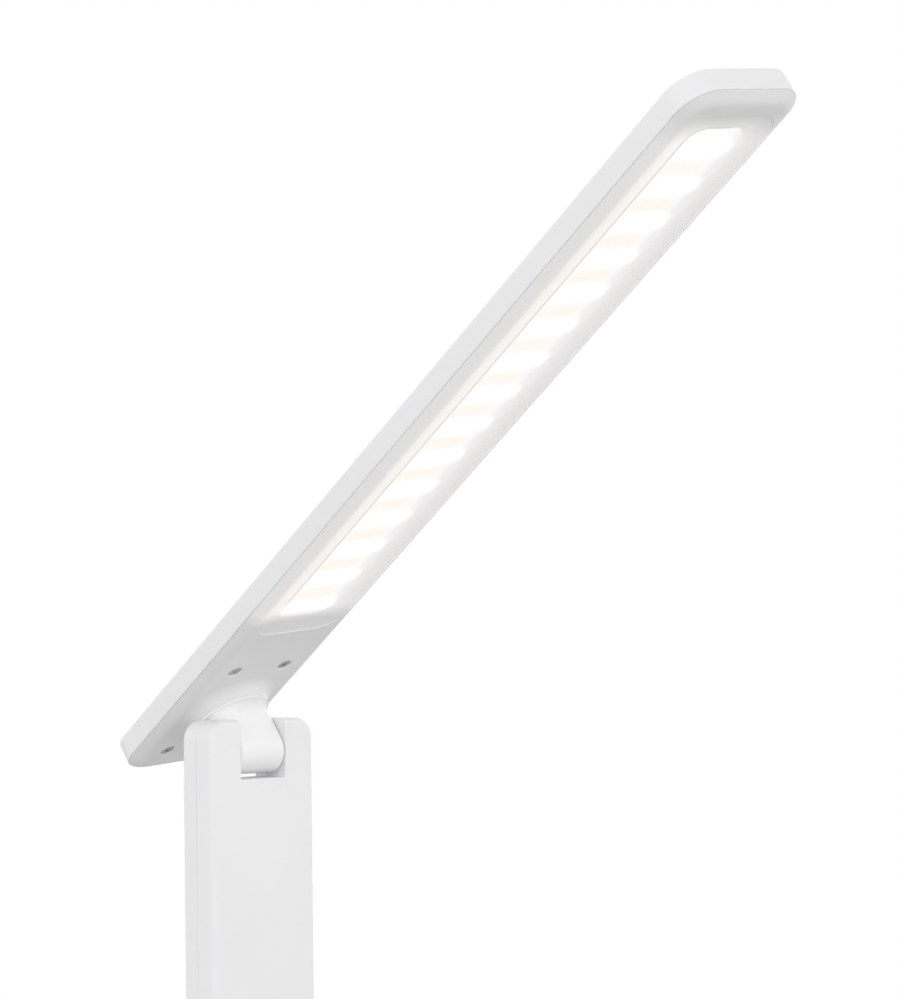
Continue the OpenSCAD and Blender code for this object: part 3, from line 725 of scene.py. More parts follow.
def lit_moulding(name, colour, roughness, grain):
    """Moulded plastic with painted light: a faint glow painted round the window where the window's light falls on
    it, stronger on the left side than on the right.
    """
    n = Nodes(moulded_plastic(name, colour, roughness, grain))
    along, across = n.head_plan()
    # Painted light: the window's light on the bezel, painted as emission across the head
    painted_window_light = n.ramp(
        across,
        -22 * MM,
        22 * MM,
        (
            (0.0, (0.12, 0.11, 0.10)),
            (0.08, (0.15, 0.14, 0.13)),
            (0.13, (0.30, 0.27, 0.24)),
            (0.18, (0.35, 0.32, 0.28)),
            (0.25, (0.36, 0.33, 0.29)),
            (0.5, (0.34, 0.32, 0.29)),
            (0.73, (0.32, 0.31, 0.30)),
            (0.80, (0.24, 0.22, 0.21)),
            (0.90, (0.18, 0.16, 0.16)),
            (0.97, (0.02, 0.02, 0.02)),
        ),
    )
    start = n.span(along, 0.0, 1.0, 49.5 * MM, 56 * MM)
    end = n.span(along, 1.0, 0.0, 286 * MM, 299 * MM)
    fade = n.maths("MULTIPLY", start, end)
    n.link(n.blend(fade, (0.0, 0.0, 0.0), painted_window_light), n.shader.inputs["Emission Color"])
    n.set(Emission_Strength=colours().glow)
    return n.owner


MADE = {}


def finishes():
    """Maker and settings of each slot's material."""
    grain = sizes().grain
    look = colours()
    glow = look.glow
    return {
        "white_shell": (moulded_plastic, "satin_shell", tuple(look.shell), 0.46, grain),
        # One moulding in two copies: the knuckle's painted lighter as painted light, the bezel's painted darker as
        # painted shade on the head's underside
        "white_moulding": (moulded_plastic, "satin_moulding", tint(look.moulding, 1.03), 0.42, grain),
        "lit_moulding": (lit_moulding, "lit_moulding", tint(look.moulding, 0.93), 0.42, grain),
        "touch_gloss": (polished_plastic, "polished_inlay", tuple(look.gloss)),
        "panel_print": (printed_mark, "panel_print", tuple(look.marks)),
        "grey_plate": (moulded_plastic, "spark_textured_plate", SLOTS["grey_plate"], 0.6, 0.7 * MM, 0.4),
        "sole_rubber": (soft_rubber, "sole_rubber", SLOTS["sole_rubber"], 0.9 * MM),
        "plain_steel": (sheet_metal, "zinc_plated_steel", SLOTS["plain_steel"], 0.38, (1, 1, 0.1)),
        "bright_steel": (sheet_metal, "nickel_plated_steel", SLOTS["bright_steel"], 0.24, (0.3, 1, 1)),
        "fibre_washer": (moulded_plastic, "dark_washer", SLOTS["fibre_washer"], 0.5, 0.4 * MM),
        "circuit_board": (circuit_mask, "green_board", SLOTS["circuit_board"], (0.10, 0.36, 0.20)),
        "white_board": (circuit_mask, "white_board", SLOTS["white_board"], (0.80, 0.80, 0.78)),
        "cool_led": (led_lens, "cool_lens", SLOTS["cool_led"]),
        "warm_led": (led_lens, "warm_lens", SLOTS["warm_led"]),
        "spreader_aluminium": (
            sheet_metal, "mill_aluminium", SLOTS["spreader_aluminium"], 0.35, (0.1, 1, 0.1),
        ),
        "diffuser_sheet": (lit_diffuser, "lit_diffuser", glow),
        "socket_black": (moulded_plastic, "black_socket", SLOTS["socket_black"], 0.4, 0.4 * MM),
        "wire_sleeve": (soft_rubber, "wire_sleeve", SLOTS["wire_sleeve"], 0.5 * MM),
    }


def finish_for(slot):
    """The material of a slot, made once."""
    if slot not in MADE:
        maker, *settings = finishes()[slot]
        MADE[slot] = maker(*settings)
    return MADE[slot]


# ---- pieces -------------------------------------------------------------------


def head_shell():
    """Top of the head: a shallow tray, its top edge rounded and its rim eased."""
    s = sizes()
    long, wide, corner = head_outline(0.0)
    bm = slab(long, wide, s.rim_height, s.rim_height + s.head_side, corner, head_middle(), 16)
    ease(bm, 1, s.head_edge, 6)
    hollow(bm, s.head_wall, s.head_side - s.head_wall, 0.3 * MM, 3)
    piece("lamp_head_shell", bm, "head", "white_shell", ["head_shell"], head_place())


def window_cutter():
    """Solid that cuts the window and the slope round it."""
    s = sizes()
    long, centre = window_span()
    low = bezel_face()
    outer = slope_outline()
    step = 0.35 * MM
    bm = slab(outer[0], outer[1], low - 2 * MM, low + step, outer[2], centre, 10)
    top = pull(bm, flat_face(bm, 1), s.slope_depth - step)
    reshape(top, outer, (long, s.window_width, s.window_corner), centre)
    pull(bm, top, 6 * MM)
    outward(bm)
    return bm


def bezel_plate(centre):
    """Plate that covers the shell's rim and slopes down to its flat middle."""
    s = sizes()
    steepness = (s.bezel_proud - BEZEL_FOOT) / s.bezel_slope
    outline = head_outline(s.bezel_lap)
    long, wide, corner = outline
    gap = 0.08 * MM
    # Built upside down, so that each step of the slope rises
    bm = slab(long, wide, gap - s.rim_height, BEZEL_FOOT - s.rim_height, corner, centre, 16)
    top = flat_face(bm, 1)
    height = BEZEL_FOOT
    half_steps = 6
    for step in range(2 * half_steps + 1):
        inset = s.bezel_slope + BEZEL_BLEND * (step / half_steps - 1)
        rise = s.bezel_proud - steepness * (s.bezel_slope + BEZEL_BLEND - inset) ** 2 / (4 * BEZEL_BLEND)
        top = pull(bm, top, rise - height)
        ring = head_outline(s.bezel_lap + inset)
        reshape(top, outline, ring, centre)
        outline, height = ring, rise
    bmesh.ops.scale(bm, vec=(1, 1, -1), verts=bm.verts)
    outward(bm)
    # Skirt that fits inside the shell's wall
    long, wide, corner = head_outline(s.head_wall + 0.1 * MM)
    skirt = slab(long, wide, s.rim_height - BEZEL_FOOT, s.rim_height + 1.5 * MM, corner, centre, 16)
    return combine(bm, skirt, "UNION")


def head_bezel():
    """Underside of the head: rounded plate, sloped window, swivel collar and screw wells."""
    s = sizes()
    centre = head_middle()
    low = bezel_face()
    bm = bezel_plate(centre)
    long, wide, corner = head_outline(s.bezel_lap + 3.8 * MM)
    pocket = slab(long, wide, low + s.head_wall, s.rim_height + 2 * MM, corner, centre)
    bm = combine(bm, pocket, "DIFFERENCE")
    # Backing that carries the window's slope and the diffuser
    long, wide, corner = slope_outline()
    backing = slab(long, wide, low + 0.5 * MM, low + s.slope_depth, corner, window_span()[1])
    bm = combine(bm, backing, "UNION")
    # The collar's lip hides the glide ring
    lip = s.flange_height + 0.05 * MM
    seat = s.flange_height + GLIDE_RING
    ring = s.flange_radius - 0.95 * MM
    bore, top = 3.6 * MM, low + 0.8 * MM
    curve = cove(s.flange_radius, s.collar_curve, lip + 0.15 * MM, low)
    profile = [(bore, seat), (ring, seat), (ring, lip), (s.flange_radius - 0.15 * MM, lip), *curve]
    profile += [(curve[-1][0], top), (bore, top), (bore, seat)]
    bm = combine(bm, lathe(profile, 96), "UNION")
    bm = combine(bm, window_cutter(), "DIFFERENCE")
    # Stepped wells for the screws, each with a chamfered mouth
    mouth, bore = 2.75 * MM, 2.25 * MM
    chamfer, seat = low + 0.35 * MM, low + 0.95 * MM
    below, through = low - 1 * MM, low + 4 * MM
    well = lathe(
        [
            (0.0, below), (mouth, below), (mouth, low), (bore, chamfer), (bore, seat),
            (SCREW_HOLE, seat), (SCREW_HOLE, through), (0.0, through),
        ],
        32,
    )
    bm = combine(bm, at_spots(well, screw_places()), "DIFFERENCE")
    stud = drum(3.55 * MM, 0.0, 30 * MM, 48)
    bm = combine(bm, stud, "DIFFERENCE")
    map_head_plan(bm)
    place = head_place()
    piece("lamp_head_bezel", bm, "head", "white_moulding", ["head_bezel"], place, "lit_moulding")


def diffuser():
    """Frosted sheet behind the window."""
    s = sizes()
    lap, thick = 2.5 * MM, 1.3 * MM
    low = bezel_face() + s.slope_depth + 0.02 * MM
    long, centre = window_span()
    bm = slab(long + 2 * lap, s.window_width + 2 * lap, low, low + thick, s.window_corner + lap, centre)
    ease(bm, -1, 0.2 * MM, 2)
    map_head_plan(bm)
    piece("lamp_diffuser", bm, "head", "diffuser_sheet", ["diffuser"], head_place())


def cross_screw(head_radius, head_height, reach):
    """Pan-head screw, head down, with a cross recess."""
    r, h = head_radius, head_height
    dome = [(0.0, 0.0), (0.45, 0.03), (0.75, 0.14), (0.93, 0.34), (1.0, 0.62), (1.0, 1.0)]
    profile = [(r * across, h * up) for across, up in dome]
    profile += [(SCREW_SHANK, h), (SCREW_SHANK, reach - SCREW_SHANK / 2)]
    profile += [(SCREW_SHANK / 2, reach), (0.0, reach)]
    bm = lathe(profile, 40)
    for turn in (0, 90):
        blade = bmesh.new()
        bmesh.ops.create_cube(blade, size=1.0)
        bmesh.ops.scale(blade, vec=(r * 1.15, r * 0.28, h * 1.3), verts=blade.verts)
        narrow = [v for v in blade.verts if v.co.z > 0]
        bmesh.ops.scale(blade, vec=(0.45, 0.7, 1.0), verts=narrow)
        spun = Matrix.Rotation(math.radians(turn + 20), 3, "Z")
        bmesh.ops.rotate(blade, cent=(0, 0, 0), matrix=spun, verts=blade.verts)
        bm = combine(bm, blade, "DIFFERENCE")
    return bm


def head_screws():
    """The four screws under the head's tail."""
    screw = cross_screw(SMALL_SCREW_HEAD, 0.65 * MM, 6.9 * MM)
    bm = at_spots(screw, screw_places(), bezel_face() + 0.15 * MM)
    piece("lamp_head_screws", bm, "head", "plain_steel", ["head_screws"], head_place())


def ray_on_outline(angle, a, b, corner):
    """Point where a ray from the middle meets a rectangle with round corners."""
    c, s = abs(math.cos(angle)), abs(math.sin(angle))
    t = min(a / c if c > 1e-9 else 1e9, b / s if s > 1e-9 else 1e9)
    x, y = t * c, t * s
    cx, cy = a - corner, b - corner
    if x > cx and y > cy:
        half = c * cx + s * cy
        t = half + math.sqrt(max(0.0, half * half - (cx * cx + cy * cy - corner * corner)))
        x, y = t * c, t * s
    return math.copysign(x, math.cos(angle)), math.copysign(y, math.sin(angle))


def pivot_post(neck, flare, foot_radius, foot_height):
    """Hinge barrel along X with a neck up Z that flares into a round foot."""
    s = sizes()
    edge = 0.9 * MM
    a, b = s.barrel_half, s.barrel_radius
    bm = bmesh.new()
    corners = plan(bm, box_corners(2 * a, 2 * b))
    round_corners(bm, corners, edge, 6)
    bmesh.ops.delete(bm, geom=list(bm.faces), context="FACES_ONLY")
    for e in [e for e in bm.edges if e.calc_length() > 3 * edge]:
        across = abs(e.verts[0].co.x - e.verts[1].co.x) < 1e-6
        bmesh.ops.subdivide_edges(bm, edges=[e], cuts=11 if across else 15)
    ring = list(bm.edges)
    # The barrel's lower half, turned from one side of the outline to the other
    side = [v for v in bm.verts if v.co.y > -1e-7]
    half = [e for e in ring if all(v.co.y > -1e-7 for v in e.verts)]
    bmesh.ops.spin(
        bm, geom=side + half, cent=(0, 0, 0), axis=(1, 0, 0), dvec=(0, 0, 0), angle=-math.pi, steps=28,
        use_merge=False, use_duplicate=False,
    )
    if min(v.co.z for v in bm.verts) > -b / 2:
        raise RuntimeError("the barrel turned the wrong way")
    bmesh.ops.remove_doubles(bm, verts=bm.verts, dist=2e-6)
    # Rings up the neck: height, half sizes along X and Y, and how round the ring is
    rings = []
    steps = 12
    for i in range(steps + 1):
        t = math.radians(90 * i / steps)
        out = 1 - math.cos(t)
        height = neck - flare + flare * math.sin(t)
        rings.append((height, a + (foot_radius - a) * out, b + (foot_radius - b) * out, math.sin(t)))
    chamfer = 0.2 * MM
    top, eased = neck + foot_height, foot_radius - chamfer
    rings.append((neck + 0.05 * MM, foot_radius, foot_radius, 1.0))
    rings.append((top - chamfer, foot_radius, foot_radius, 1.0))
    rings.append((top, eased, eased, 1.0))
    edges = [e for e in bm.edges if e.is_boundary]
    for z, ra, rb, blend in rings:
        made = bmesh.ops.extrude_edge_only(bm, edges=edges)["geom"]
        edges = [g for g in made if isinstance(g, bmesh.types.BMEdge)]
        corner = edge + (min(ra, rb) - edge) * blend
        for v in (g for g in made if isinstance(g, bmesh.types.BMVert)):
            heading = math.atan2(v.co.y, v.co.x)
            v.co.x, v.co.y = ray_on_outline(heading, ra, rb, min(corner, ra, rb))
            v.co.z = z
    bmesh.ops.contextual_create(bm, geom=edges)
    outward(bm)
    bore = drum(SHAFT_BORE, -20 * MM, 20 * MM, 48)
    bmesh.ops.rotate(bore, cent=(0, 0, 0), matrix=Matrix.Rotation(math.pi / 2, 3, "Y"), verts=bore.verts)
    return combine(bm, bore, "DIFFERENCE")


def knuckle():
    """Barrel and neck between the arm and the head."""
    s = sizes()
    foot = 0.9 * MM
    bm = pivot_post(s.flange_height - foot, 5.15 * MM, s.flange_radius, foot)
    stud = drum(3.52 * MM, 4.5 * MM, 30 * MM, 48)
    bm = combine(bm, stud, "DIFFERENCE")
    piece("lamp_knuckle", bm, "knuckle", "white_moulding", ["knuckle"], knuckle_place())


def inlet_place():
    """Frame of the power inlet: Z into the base from its back."""
    return Matrix.Translation((0, BASE_HIGH.y, middle("power_inlet").z)) @ UPRIGHT


def stem_holes(low, high):
    """Bores for the post's wire and its two screws."""
    wire = drum(2 * MM, low, high)
    return join(wire, at_spots(drum(SCREW_HOLE, low, high), [(-6 * MM, 0), (6 * MM, 0)]))


def hinge_stem():
    """Post on the base that carries the fold shaft."""
    reach = FOLD_AXIS.z - BASE_HIGH.z
    foot = 1.5 * MM
    bm = pivot_post(reach - foot, 8 * MM, 17 * MM, foot)
    bm = combine(bm, stem_holes(reach - 13 * MM, reach + 1 * MM), "DIFFERENCE")
    place = Matrix.Translation(FOLD_AXIS) @ Matrix.Rotation(math.pi, 4, "X")
    piece("lamp_hinge_stem", bm, "base", "white_shell", ["hinge_stem"], place)


def in_notch(vert):
    """Whether a point of an arm shell's outline lies on one of its notches."""
    s = sizes()
    x, y = vert.co.xy
    near_end = y > ARM_TOP - s.notch_depth - 1e-6 or y < ARM_FOOT + s.notch_depth + 1e-6
    return near_end and abs(x) < s.notch_width / 2 + 1e-6


def arm_tray(depth):
    """One arm shell, lying on its seam with its outer face up."""
    s = sizes()
    half = (FRONT_HIGH.x - FRONT_LOW.x) / 2
    top, foot = ARM_TOP, ARM_FOOT
    nx, nd = s.notch_width / 2, s.notch_depth
    points = [
        (-half, foot), (-nx, foot), (-nx, foot + nd), (nx, foot + nd), (nx, foot), (half, foot),
        (half, top), (nx, top), (nx, top - nd), (-nx, top - nd), (-nx, top), (-half, top),
    ]
    bm = bmesh.new()
    verts = plan(bm, points)
    notch_corners = [verts[i] for i in (2, 3, 8, 9)]
    outer_corners = [verts[i] for i in (0, 5, 6, 11)]
    round_corners(bm, outer_corners, s.arm_corner, 12)
    round_corners(bm, [v for v in notch_corners if v.is_valid], 0.5 * MM, 4)
    bm.faces.ensure_lookup_table()
    if bm.faces[0].normal.z < 0:
        bmesh.ops.reverse_faces(bm, faces=list(bm.faces))
    pull(bm, bm.faces[0], depth)
    outward(bm)
    long_edges = [e for e in flat_face(bm, 1).edges if not all(in_notch(v) for v in e.verts)]
    round_edges(bm, long_edges, s.arm_edge, 7)
    notch_edges = [e for e in flat_face(bm, 1).edges if all(in_notch(v) for v in e.verts)]
    round_edges(bm, notch_edges, 0.3 * MM, 2)
    hollow(bm, s.arm_wall, depth - s.arm_wall, 0.22 * MM, 2)
    return bm


def arm_screw_spots():
    """Screw places on the arm's back, as (x, z)."""
    side, from_shaft = 17 * MM, 40 * MM
    zs = (TILT_AXIS.z - from_shaft, (TILT_AXIS.z + FOLD_AXIS.z) / 2, FOLD_AXIS.z + from_shaft)
    return [(x, z) for z in zs for x in (-side, side)]


def arm_shells():
    """Front and rear halves of the arm."""
    seam = FRONT_HIGH.y
    centre = Matrix.Translation((0, seam, TILT_AXIS.z))
    front = arm_tray(seam - FRONT_LOW.y)
    piece("lamp_arm_front", front, "arm", "white_shell", ["arm_front_shell"], centre @ UPRIGHT)
    depth = ARM_BACK - seam
    spots = [(x, z - TILT_AXIS.z) for x, z in arm_screw_spots()]
    bosses = at_spots(drum(3.6 * MM, 1 * MM, depth - 1 * MM, 32), spots)
    rear = combine(arm_tray(depth), bosses, "UNION")
    mouth, bore = 3.05 * MM, 2.76 * MM
    chamfer, seat = depth - 0.25 * MM, depth - 2.0 * MM
    below, above = -1 * MM, depth + 1 * MM
    well = lathe(
        [
            (0.0, below), (SCREW_HOLE, below), (SCREW_HOLE, seat), (bore, seat), (bore, chamfer),
            (mouth, depth + 0.05 * MM), (mouth, above), (0.0, above),
        ],
        40,
    )
    rear = combine(rear, at_spots(well, spots), "DIFFERENCE")
    # Turned half round, so that the outer face looks back
    flip = Matrix(((-1, 0, 0, 0), (0, 0, 1, 0), (0, 1, 0, 0), (0, 0, 0, 1)))
    piece("lamp_arm_rear", rear, "arm", "white_shell", ["arm_rear_shell"], centre @ flip)


def arm_screws():
    """Six screws in the arm's back."""
    screw = cross_screw(SCREW_HEAD, 1.6 * MM, 10.6 * MM)
    back = ARM_BACK - 0.4 * MM
    bm = place_all(screw, [Matrix.Translation((x, back, z)) @ UPRIGHT for x, z in arm_screw_spots()])
    piece("lamp_arm_screws", bm, "arm", "plain_steel", ["arm_screws"])


def plan_size(low, high):
    """Width and depth of a box."""
    return high.x - low.x, high.y - low.y


def base_cover():
    """Top cover of the base, with its panel recess, post holes and inlet hole."""
    s = sizes()
    wide, deep = plan_size(BASE_LOW, BASE_HIGH)
    bm = slab(wide, deep, BASE_LOW.z, BASE_HIGH.z, s.base_corner, 0.0, 24)
    ease(bm, 1, s.base_edge, 10)
    hollow(bm, s.base_wall, BASE_HIGH.z - BASE_LOW.z - s.base_wall - s.base_edge / 2, 0.5 * MM, 3)
    gap = 0.1 * MM
    wide, deep = plan_size(PANEL_LOW, PANEL_HIGH)
    recess = slab(wide + 2 * gap, deep + 2 * gap, PANEL_LOW.z, PANEL_HIGH.z + 2 * MM, 8 * MM)
    shift(recess, y=PANEL_Y)
    bm = combine(bm, recess, "DIFFERENCE")
    mouth, bore = 5.1 * MM, 4.5 * MM
    outside, inside = -2 * MM, 5 * MM
    hole = lathe(
        [
            (0.0, outside), (mouth, outside), (mouth, 0.0), (bore, 0.6 * MM), (bore, inside),
            (0.0, inside),
        ],
        48,
    )
    bmesh.ops.transform(hole, matrix=inlet_place(), verts=hole.verts)
    bm = combine(bm, hole, "DIFFERENCE")
    holes = stem_holes(-BASE_HIGH.z, 2 * MM)
    shift(holes, y=FOLD_AXIS.y, z=BASE_HIGH.z)
    bm = combine(bm, holes, "DIFFERENCE")
    piece("lamp_base_cover", bm, "base", "white_shell", ["base_top_cover"])


def sole_pad():
    """Rubber pad under the base."""
    low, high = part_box("sole_pad")
    wide, deep = plan_size(low, high)
    bm = slab(wide, deep, low.z, high.z, 11.8 * MM, 0.0, 16)
    ease(bm, -1, 0.3 * MM, 3)
    piece("lamp_sole_pad", bm, "base", "sole_rubber", ["sole_pad"])


def base_screws():
    """Five screws in the base's underside."""
    low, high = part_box("base_screws")
    x, y = high.x - SCREW_HEAD, high.y - SCREW_HEAD
    screw = cross_screw(SCREW_HEAD, 1.1 * MM, 9 * MM)
    bm = at_spots(screw, [(-x, -y), (-x, y), (0, -y), (x, -y), (x, y)], low.z)
    piece("lamp_base_screws", bm, "base", "plain_steel", ["base_screws"])


def panel_mark(long, across, x, dy=0.0):
    """Flat printed mark on the touch panel, its ends rounded."""
    mark = slab(long, across, MARK_LOW, MARK_HIGH, min(long, across) * 0.49, 0.0, 6)
    shift(mark, x, PANEL_Y + dy)
    return mark


def touch_panel():
    """Polished inlay on the base, with plain printed marks."""
    wide, deep = plan_size(PANEL_LOW, PANEL_HIGH)
    bm = slab(wide, deep, PANEL_LOW.z, PANEL_HIGH.z, 7.9 * MM, 0.0, 16)
    ease(bm, 1, 0.25 * MM, 3)
    shift(bm, y=PANEL_Y)
    piece("lamp_touch_panel", bm, "base", "touch_gloss", ["touch_panel"])
    # Open ring with a stroke through its gap
    inner, outer = 2.6 * MM, 3.1 * MM
    profile = [(inner, MARK_LOW), (outer, MARK_LOW), (outer, MARK_HIGH), (inner, MARK_HIGH)]
    ring = lathe([*profile, profile[0]], 48)
    shift(ring, y=PANEL_Y)
    gap = slab(2.2 * MM, 2.6 * MM, MARK_LOW - 1 * MM, MARK_HIGH + 1 * MM, 1 * MM, 0.0, 6)
    shift(gap, y=PANEL_Y + 3 * MM)
    ring = combine(ring, gap, "DIFFERENCE")
    # The stroke, a minus on the left and a plus on the right, and a row of dots to each
    stroke, arm, dot = 0.5 * MM, 3.6 * MM, 0.9 * MM
    marks = [panel_mark(stroke, 3 * MM, 0.0, 2.4 * MM)]
    marks += [panel_mark(arm, stroke, x * MM) for x in (-30, 30)]
    marks.append(panel_mark(stroke, arm, 30 * MM))
    for x in (10, 14, 18, 22):
        marks += [panel_mark(dot, dot, way * x * MM) for way in (1, -1)]
    piece("lamp_panel_marks", join(ring, *marks), "base", "touch_gloss", finish="panel_print")


def power_inlet():
    """Round low-voltage socket at the back of the base."""
    radius, chamfer, neck = 4.4 * MM, 0.25 * MM, 3.2 * MM
    nose = lathe([(0.0, 0.0), (4.15 * MM, 0.0), (radius, chamfer), (radius, neck), (0.0, neck)], 48)
    body = slab(9 * MM, 11 * MM, 2.2 * MM, 13.7 * MM, 0.3 * MM, 0.0, 2)
    for way in (1, -1):
        ease(body, way, 0.3 * MM, 2)
    solid = combine(nose, body, "UNION")
    # Round mouth with a pin standing in it
    pin, bore = 1 * MM, 2.8 * MM
    bottom, outside = 9.5 * MM, -1 * MM
    mouth = lathe(
        [
            (0.0, 1 * MM), (0.7 * MM, 1.05 * MM), (pin, 1.4 * MM), (pin, bottom),
            (bore, bottom), (bore, 0.35 * MM), (3.1 * MM, 0.0), (3.2 * MM, outside),
            (0.0, outside),
        ],
        48,
    )
    solid = combine(solid, mouth, "DIFFERENCE")
    piece("lamp_power_inlet", solid, "base", "socket_black", ["power_inlet"], inlet_place())


CARRIED = {
    "grey_plate": ["base_bottom_plate"],
    "plain_steel": [
        "counterweight", "weight_screws", "stem_clamp_plate", "stem_screws", "arm_spine", "spine_screws",
        "swivel_bracket", "board_screws",
    ],
    "bright_steel": [
        "fold_shaft", "fold_spring_washer", "fold_nut", "tilt_shaft", "tilt_spring_washer", "tilt_nut",
        "swivel_stud", "swivel_spring_washer", "swivel_nut",
    ],
    "fibre_washer": ["fold_friction_washers", "tilt_friction_washers", "swivel_glide_ring"],
    "circuit_board": ["driver_board", "sensor_board"],
    "white_board": ["led_board"],
    "cool_led": ["cool_leds"],
    "warm_led": ["warm_leds"],
    "spreader_aluminium": ["heat_spreader"],
    "wire_sleeve": ["stem_wire", "arm_wire", "head_wire"],
}


def inside_parts():
    """Materials for the pieces that keep their CAD shape."""
    for slot, names in CARRIED.items():
        for name in names:
            mesh = frame["nodes"][name].data
            mesh.materials.clear()
            mesh.materials.append(finish_for(slot))


def world_light():
    """White backdrop for the camera, and soft light, strong at the horizon and weak overhead."""
    world = bpy.data.worlds.new("soft_room")
    bpy.context.scene.world = world
    n = Nodes(world, "Background")
    split = n.add("ShaderNodeSeparateXYZ")
    n.link(n.add("ShaderNodeTexCoord").outputs["Generated"], split.inputs["Vector"])
    light = n.span(split.outputs["Z"], HORIZON_LIGHT, OVERHEAD_LIGHT, 0.0, 1.0)
    # Plain white where the camera, a reflection or a clear part looks at it
    path = n.add("ShaderNodeLightPath")
    seen = path.outputs["Is Camera Ray"]
    for ray in ("Is Glossy Ray", "Is Transmission Ray"):
        seen = n.maths("MAXIMUM", seen, path.outputs[ray])
    pick = n.add("ShaderNodeMix")
    n.link(seen, pick.inputs["Factor"])
    n.link(light, pick.inputs["A"])
    pick.inputs["B"].default_value = 1.0
    n.link(pick.outputs["Result"], n.shader.inputs["Strength"])
    n.set(Color=(1.0, 1.0, 1.0, 1.0))


def floor():
    """Pale floor that fades to white away from the lamp."""
    bm = bmesh.new()
    bmesh.ops.create_circle(bm, cap_ends=True, segments=96, radius=6.0)
    obj = new_object("floor", to_mesh(bm, "floor"))
    n = Nodes("pale_floor")
    path = n.add("ShaderNodeLightPath")
    base = n.blend(path.outputs["Is Camera Ray"], (0.75, 0.75, 0.75), (0.93, 0.93, 0.93))
    n.paint(base)
    n.set(Roughness=0.9, Specular_IOR_Level=0.1)
    white = n.add("ShaderNodeEmission")
    away = n.add("ShaderNodeVectorMath", operation="LENGTH")
    n.link(n.places(), away.inputs[0])
    far = n.span(away.outputs["Value"], 0.0, 1.0, 0.35, 1.2)
    fade = n.maths("MULTIPLY", far, path.outputs["Is Camera Ray"], clamp=True)
    mix = n.add("ShaderNodeMixShader")
    n.link(fade, mix.inputs["Fac"])
    n.link(n.shader.outputs["BSDF"], mix.inputs[1])
    n.link(white.outputs["Emission"], mix.inputs[2])
    n.link(mix.outputs["Shader"], n.tree.nodes["Material Output"].inputs["Surface"])
    obj.data.materials.append(n.owner)


def lamp_light(name, place, aim, size, power):
    """Soft square light."""
    data = bpy.data.lights.new(name, "AREA")
    data.shape = "SQUARE"
    data.size = size
    data.energy = power
    obj = new_object(name, data)
    obj.location = place
    obj.rotation_euler = (Vector(aim) - Vector(place)).to_track_quat("-Z", "Y").to_euler()


def camera():
    """Camera in front of the lamp's left corner, a little above the knuckle."""
    heading, pitch, roll = 0.8541592, 0.0341418, -0.0122570
    arm_top = Vector((0.0, 0.0298, 0.3889))
    place = arm_top + Vector((-0.811109, -0.787173, 0.0310845))
    level_ahead = Vector((math.sin(heading), math.cos(heading), 0.0))
    ahead = level_ahead * math.cos(pitch) + Vector((0.0, 0.0, math.sin(pitch)))
    right = Vector((math.cos(heading), -math.sin(heading), 0.0))
    up = right.cross(ahead)
    level = math.cos(roll) * right + math.sin(roll) * up
    upright = -math.sin(roll) * right + math.cos(roll) * up
    data = bpy.data.cameras.new("lamp_camera")
    data.sensor_width = 36.0
    data.lens = 127.61
    data.clip_end = 50.0
    obj = new_object("lamp_camera", data)
    obj.matrix_world = Matrix.Translation(place) @ Matrix((level, upright, -ahead)).transposed().to_4x4()
    bpy.context.scene.camera = obj


def stage():
    """Floor, lights, world and camera."""
    world_light()
    floor()
    lamp_light("key_light", (-1.7, -0.4, 1.6), (0, -0.05, 0.35), 1.4, 1.5)
    lamp_light("fill_light", (-0.7, -1.8, 0.15), (0, 0, 0.36), 1.2, 4.0)
    camera()
    bpy.context.scene.view_settings.view_transform = "Standard"


# ---- operators and panel --------------------------------------------------------


class LAMP_OT_head_shell(bpy.types.Operator):
    """Build the top shell of the head"""

    bl_idname = "lamp.head_shell"
    bl_label = "Head Shell"
    bl_options = {"REGISTER", "UNDO"}

    def execute(self, context):
        """Run head_shell()."""
        head_shell()
        return {"FINISHED"}


class LAMP_OT_head_bezel(bpy.types.Operator):
    """Build the underside plate of the head"""

    bl_idname = "lamp.head_bezel"
    bl_label = "Head Bezel"
    bl_options = {"REGISTER", "UNDO"}

    def execute(self, context):
        """Run head_bezel()."""
        head_bezel()
        return {"FINISHED"}


class LAMP_OT_diffuser(bpy.types.Operator):
    """Build the lit diffuser sheet"""

    bl_idname = "lamp.diffuser"
    bl_label = "Diffuser"
    bl_options = {"REGISTER", "UNDO"}

    def execute(self, context):
        """Run diffuser()."""
        diffuser()
        return {"FINISHED"}


class LAMP_OT_head_screws(bpy.types.Operator):
    """Build the four screws under the head"""

    bl_idname = "lamp.head_screws"
    bl_label = "Head Screws"
    bl_options = {"REGISTER", "UNDO"}

    def execute(self, context):
        """Run head_screws()."""
        head_screws()
        return {"FINISHED"}


class LAMP_OT_knuckle(bpy.types.Operator):
    """Build the knuckle between arm and head"""

    bl_idname = "lamp.knuckle"
    bl_label = "Knuckle"
    bl_options = {"REGISTER", "UNDO"}

    def execute(self, context):
        """Run knuckle()."""
        knuckle()
        return {"FINISHED"}


class LAMP_OT_hinge_stem(bpy.types.Operator):
    """Build the post that carries the fold shaft"""

    bl_idname = "lamp.hinge_stem"
    bl_label = "Hinge Stem"
    bl_options = {"REGISTER", "UNDO"}

    def execute(self, context):
        """Run hinge_stem()."""
        hinge_stem()
        return {"FINISHED"}


class LAMP_OT_arm_shells(bpy.types.Operator):
    """Build the two halves of the arm"""

    bl_idname = "lamp.arm_shells"
    bl_label = "Arm Shells"
    bl_options = {"REGISTER", "UNDO"}

    def execute(self, context):
        """Run arm_shells()."""
        arm_shells()
        return {"FINISHED"}


class LAMP_OT_arm_screws(bpy.types.Operator):
    """Build the screws in the arm's back"""

    bl_idname = "lamp.arm_screws"
    bl_label = "Arm Screws"
    bl_options = {"REGISTER", "UNDO"}

    def execute(self, context):
        """Run arm_screws()."""
        arm_screws()
        return {"FINISHED"}


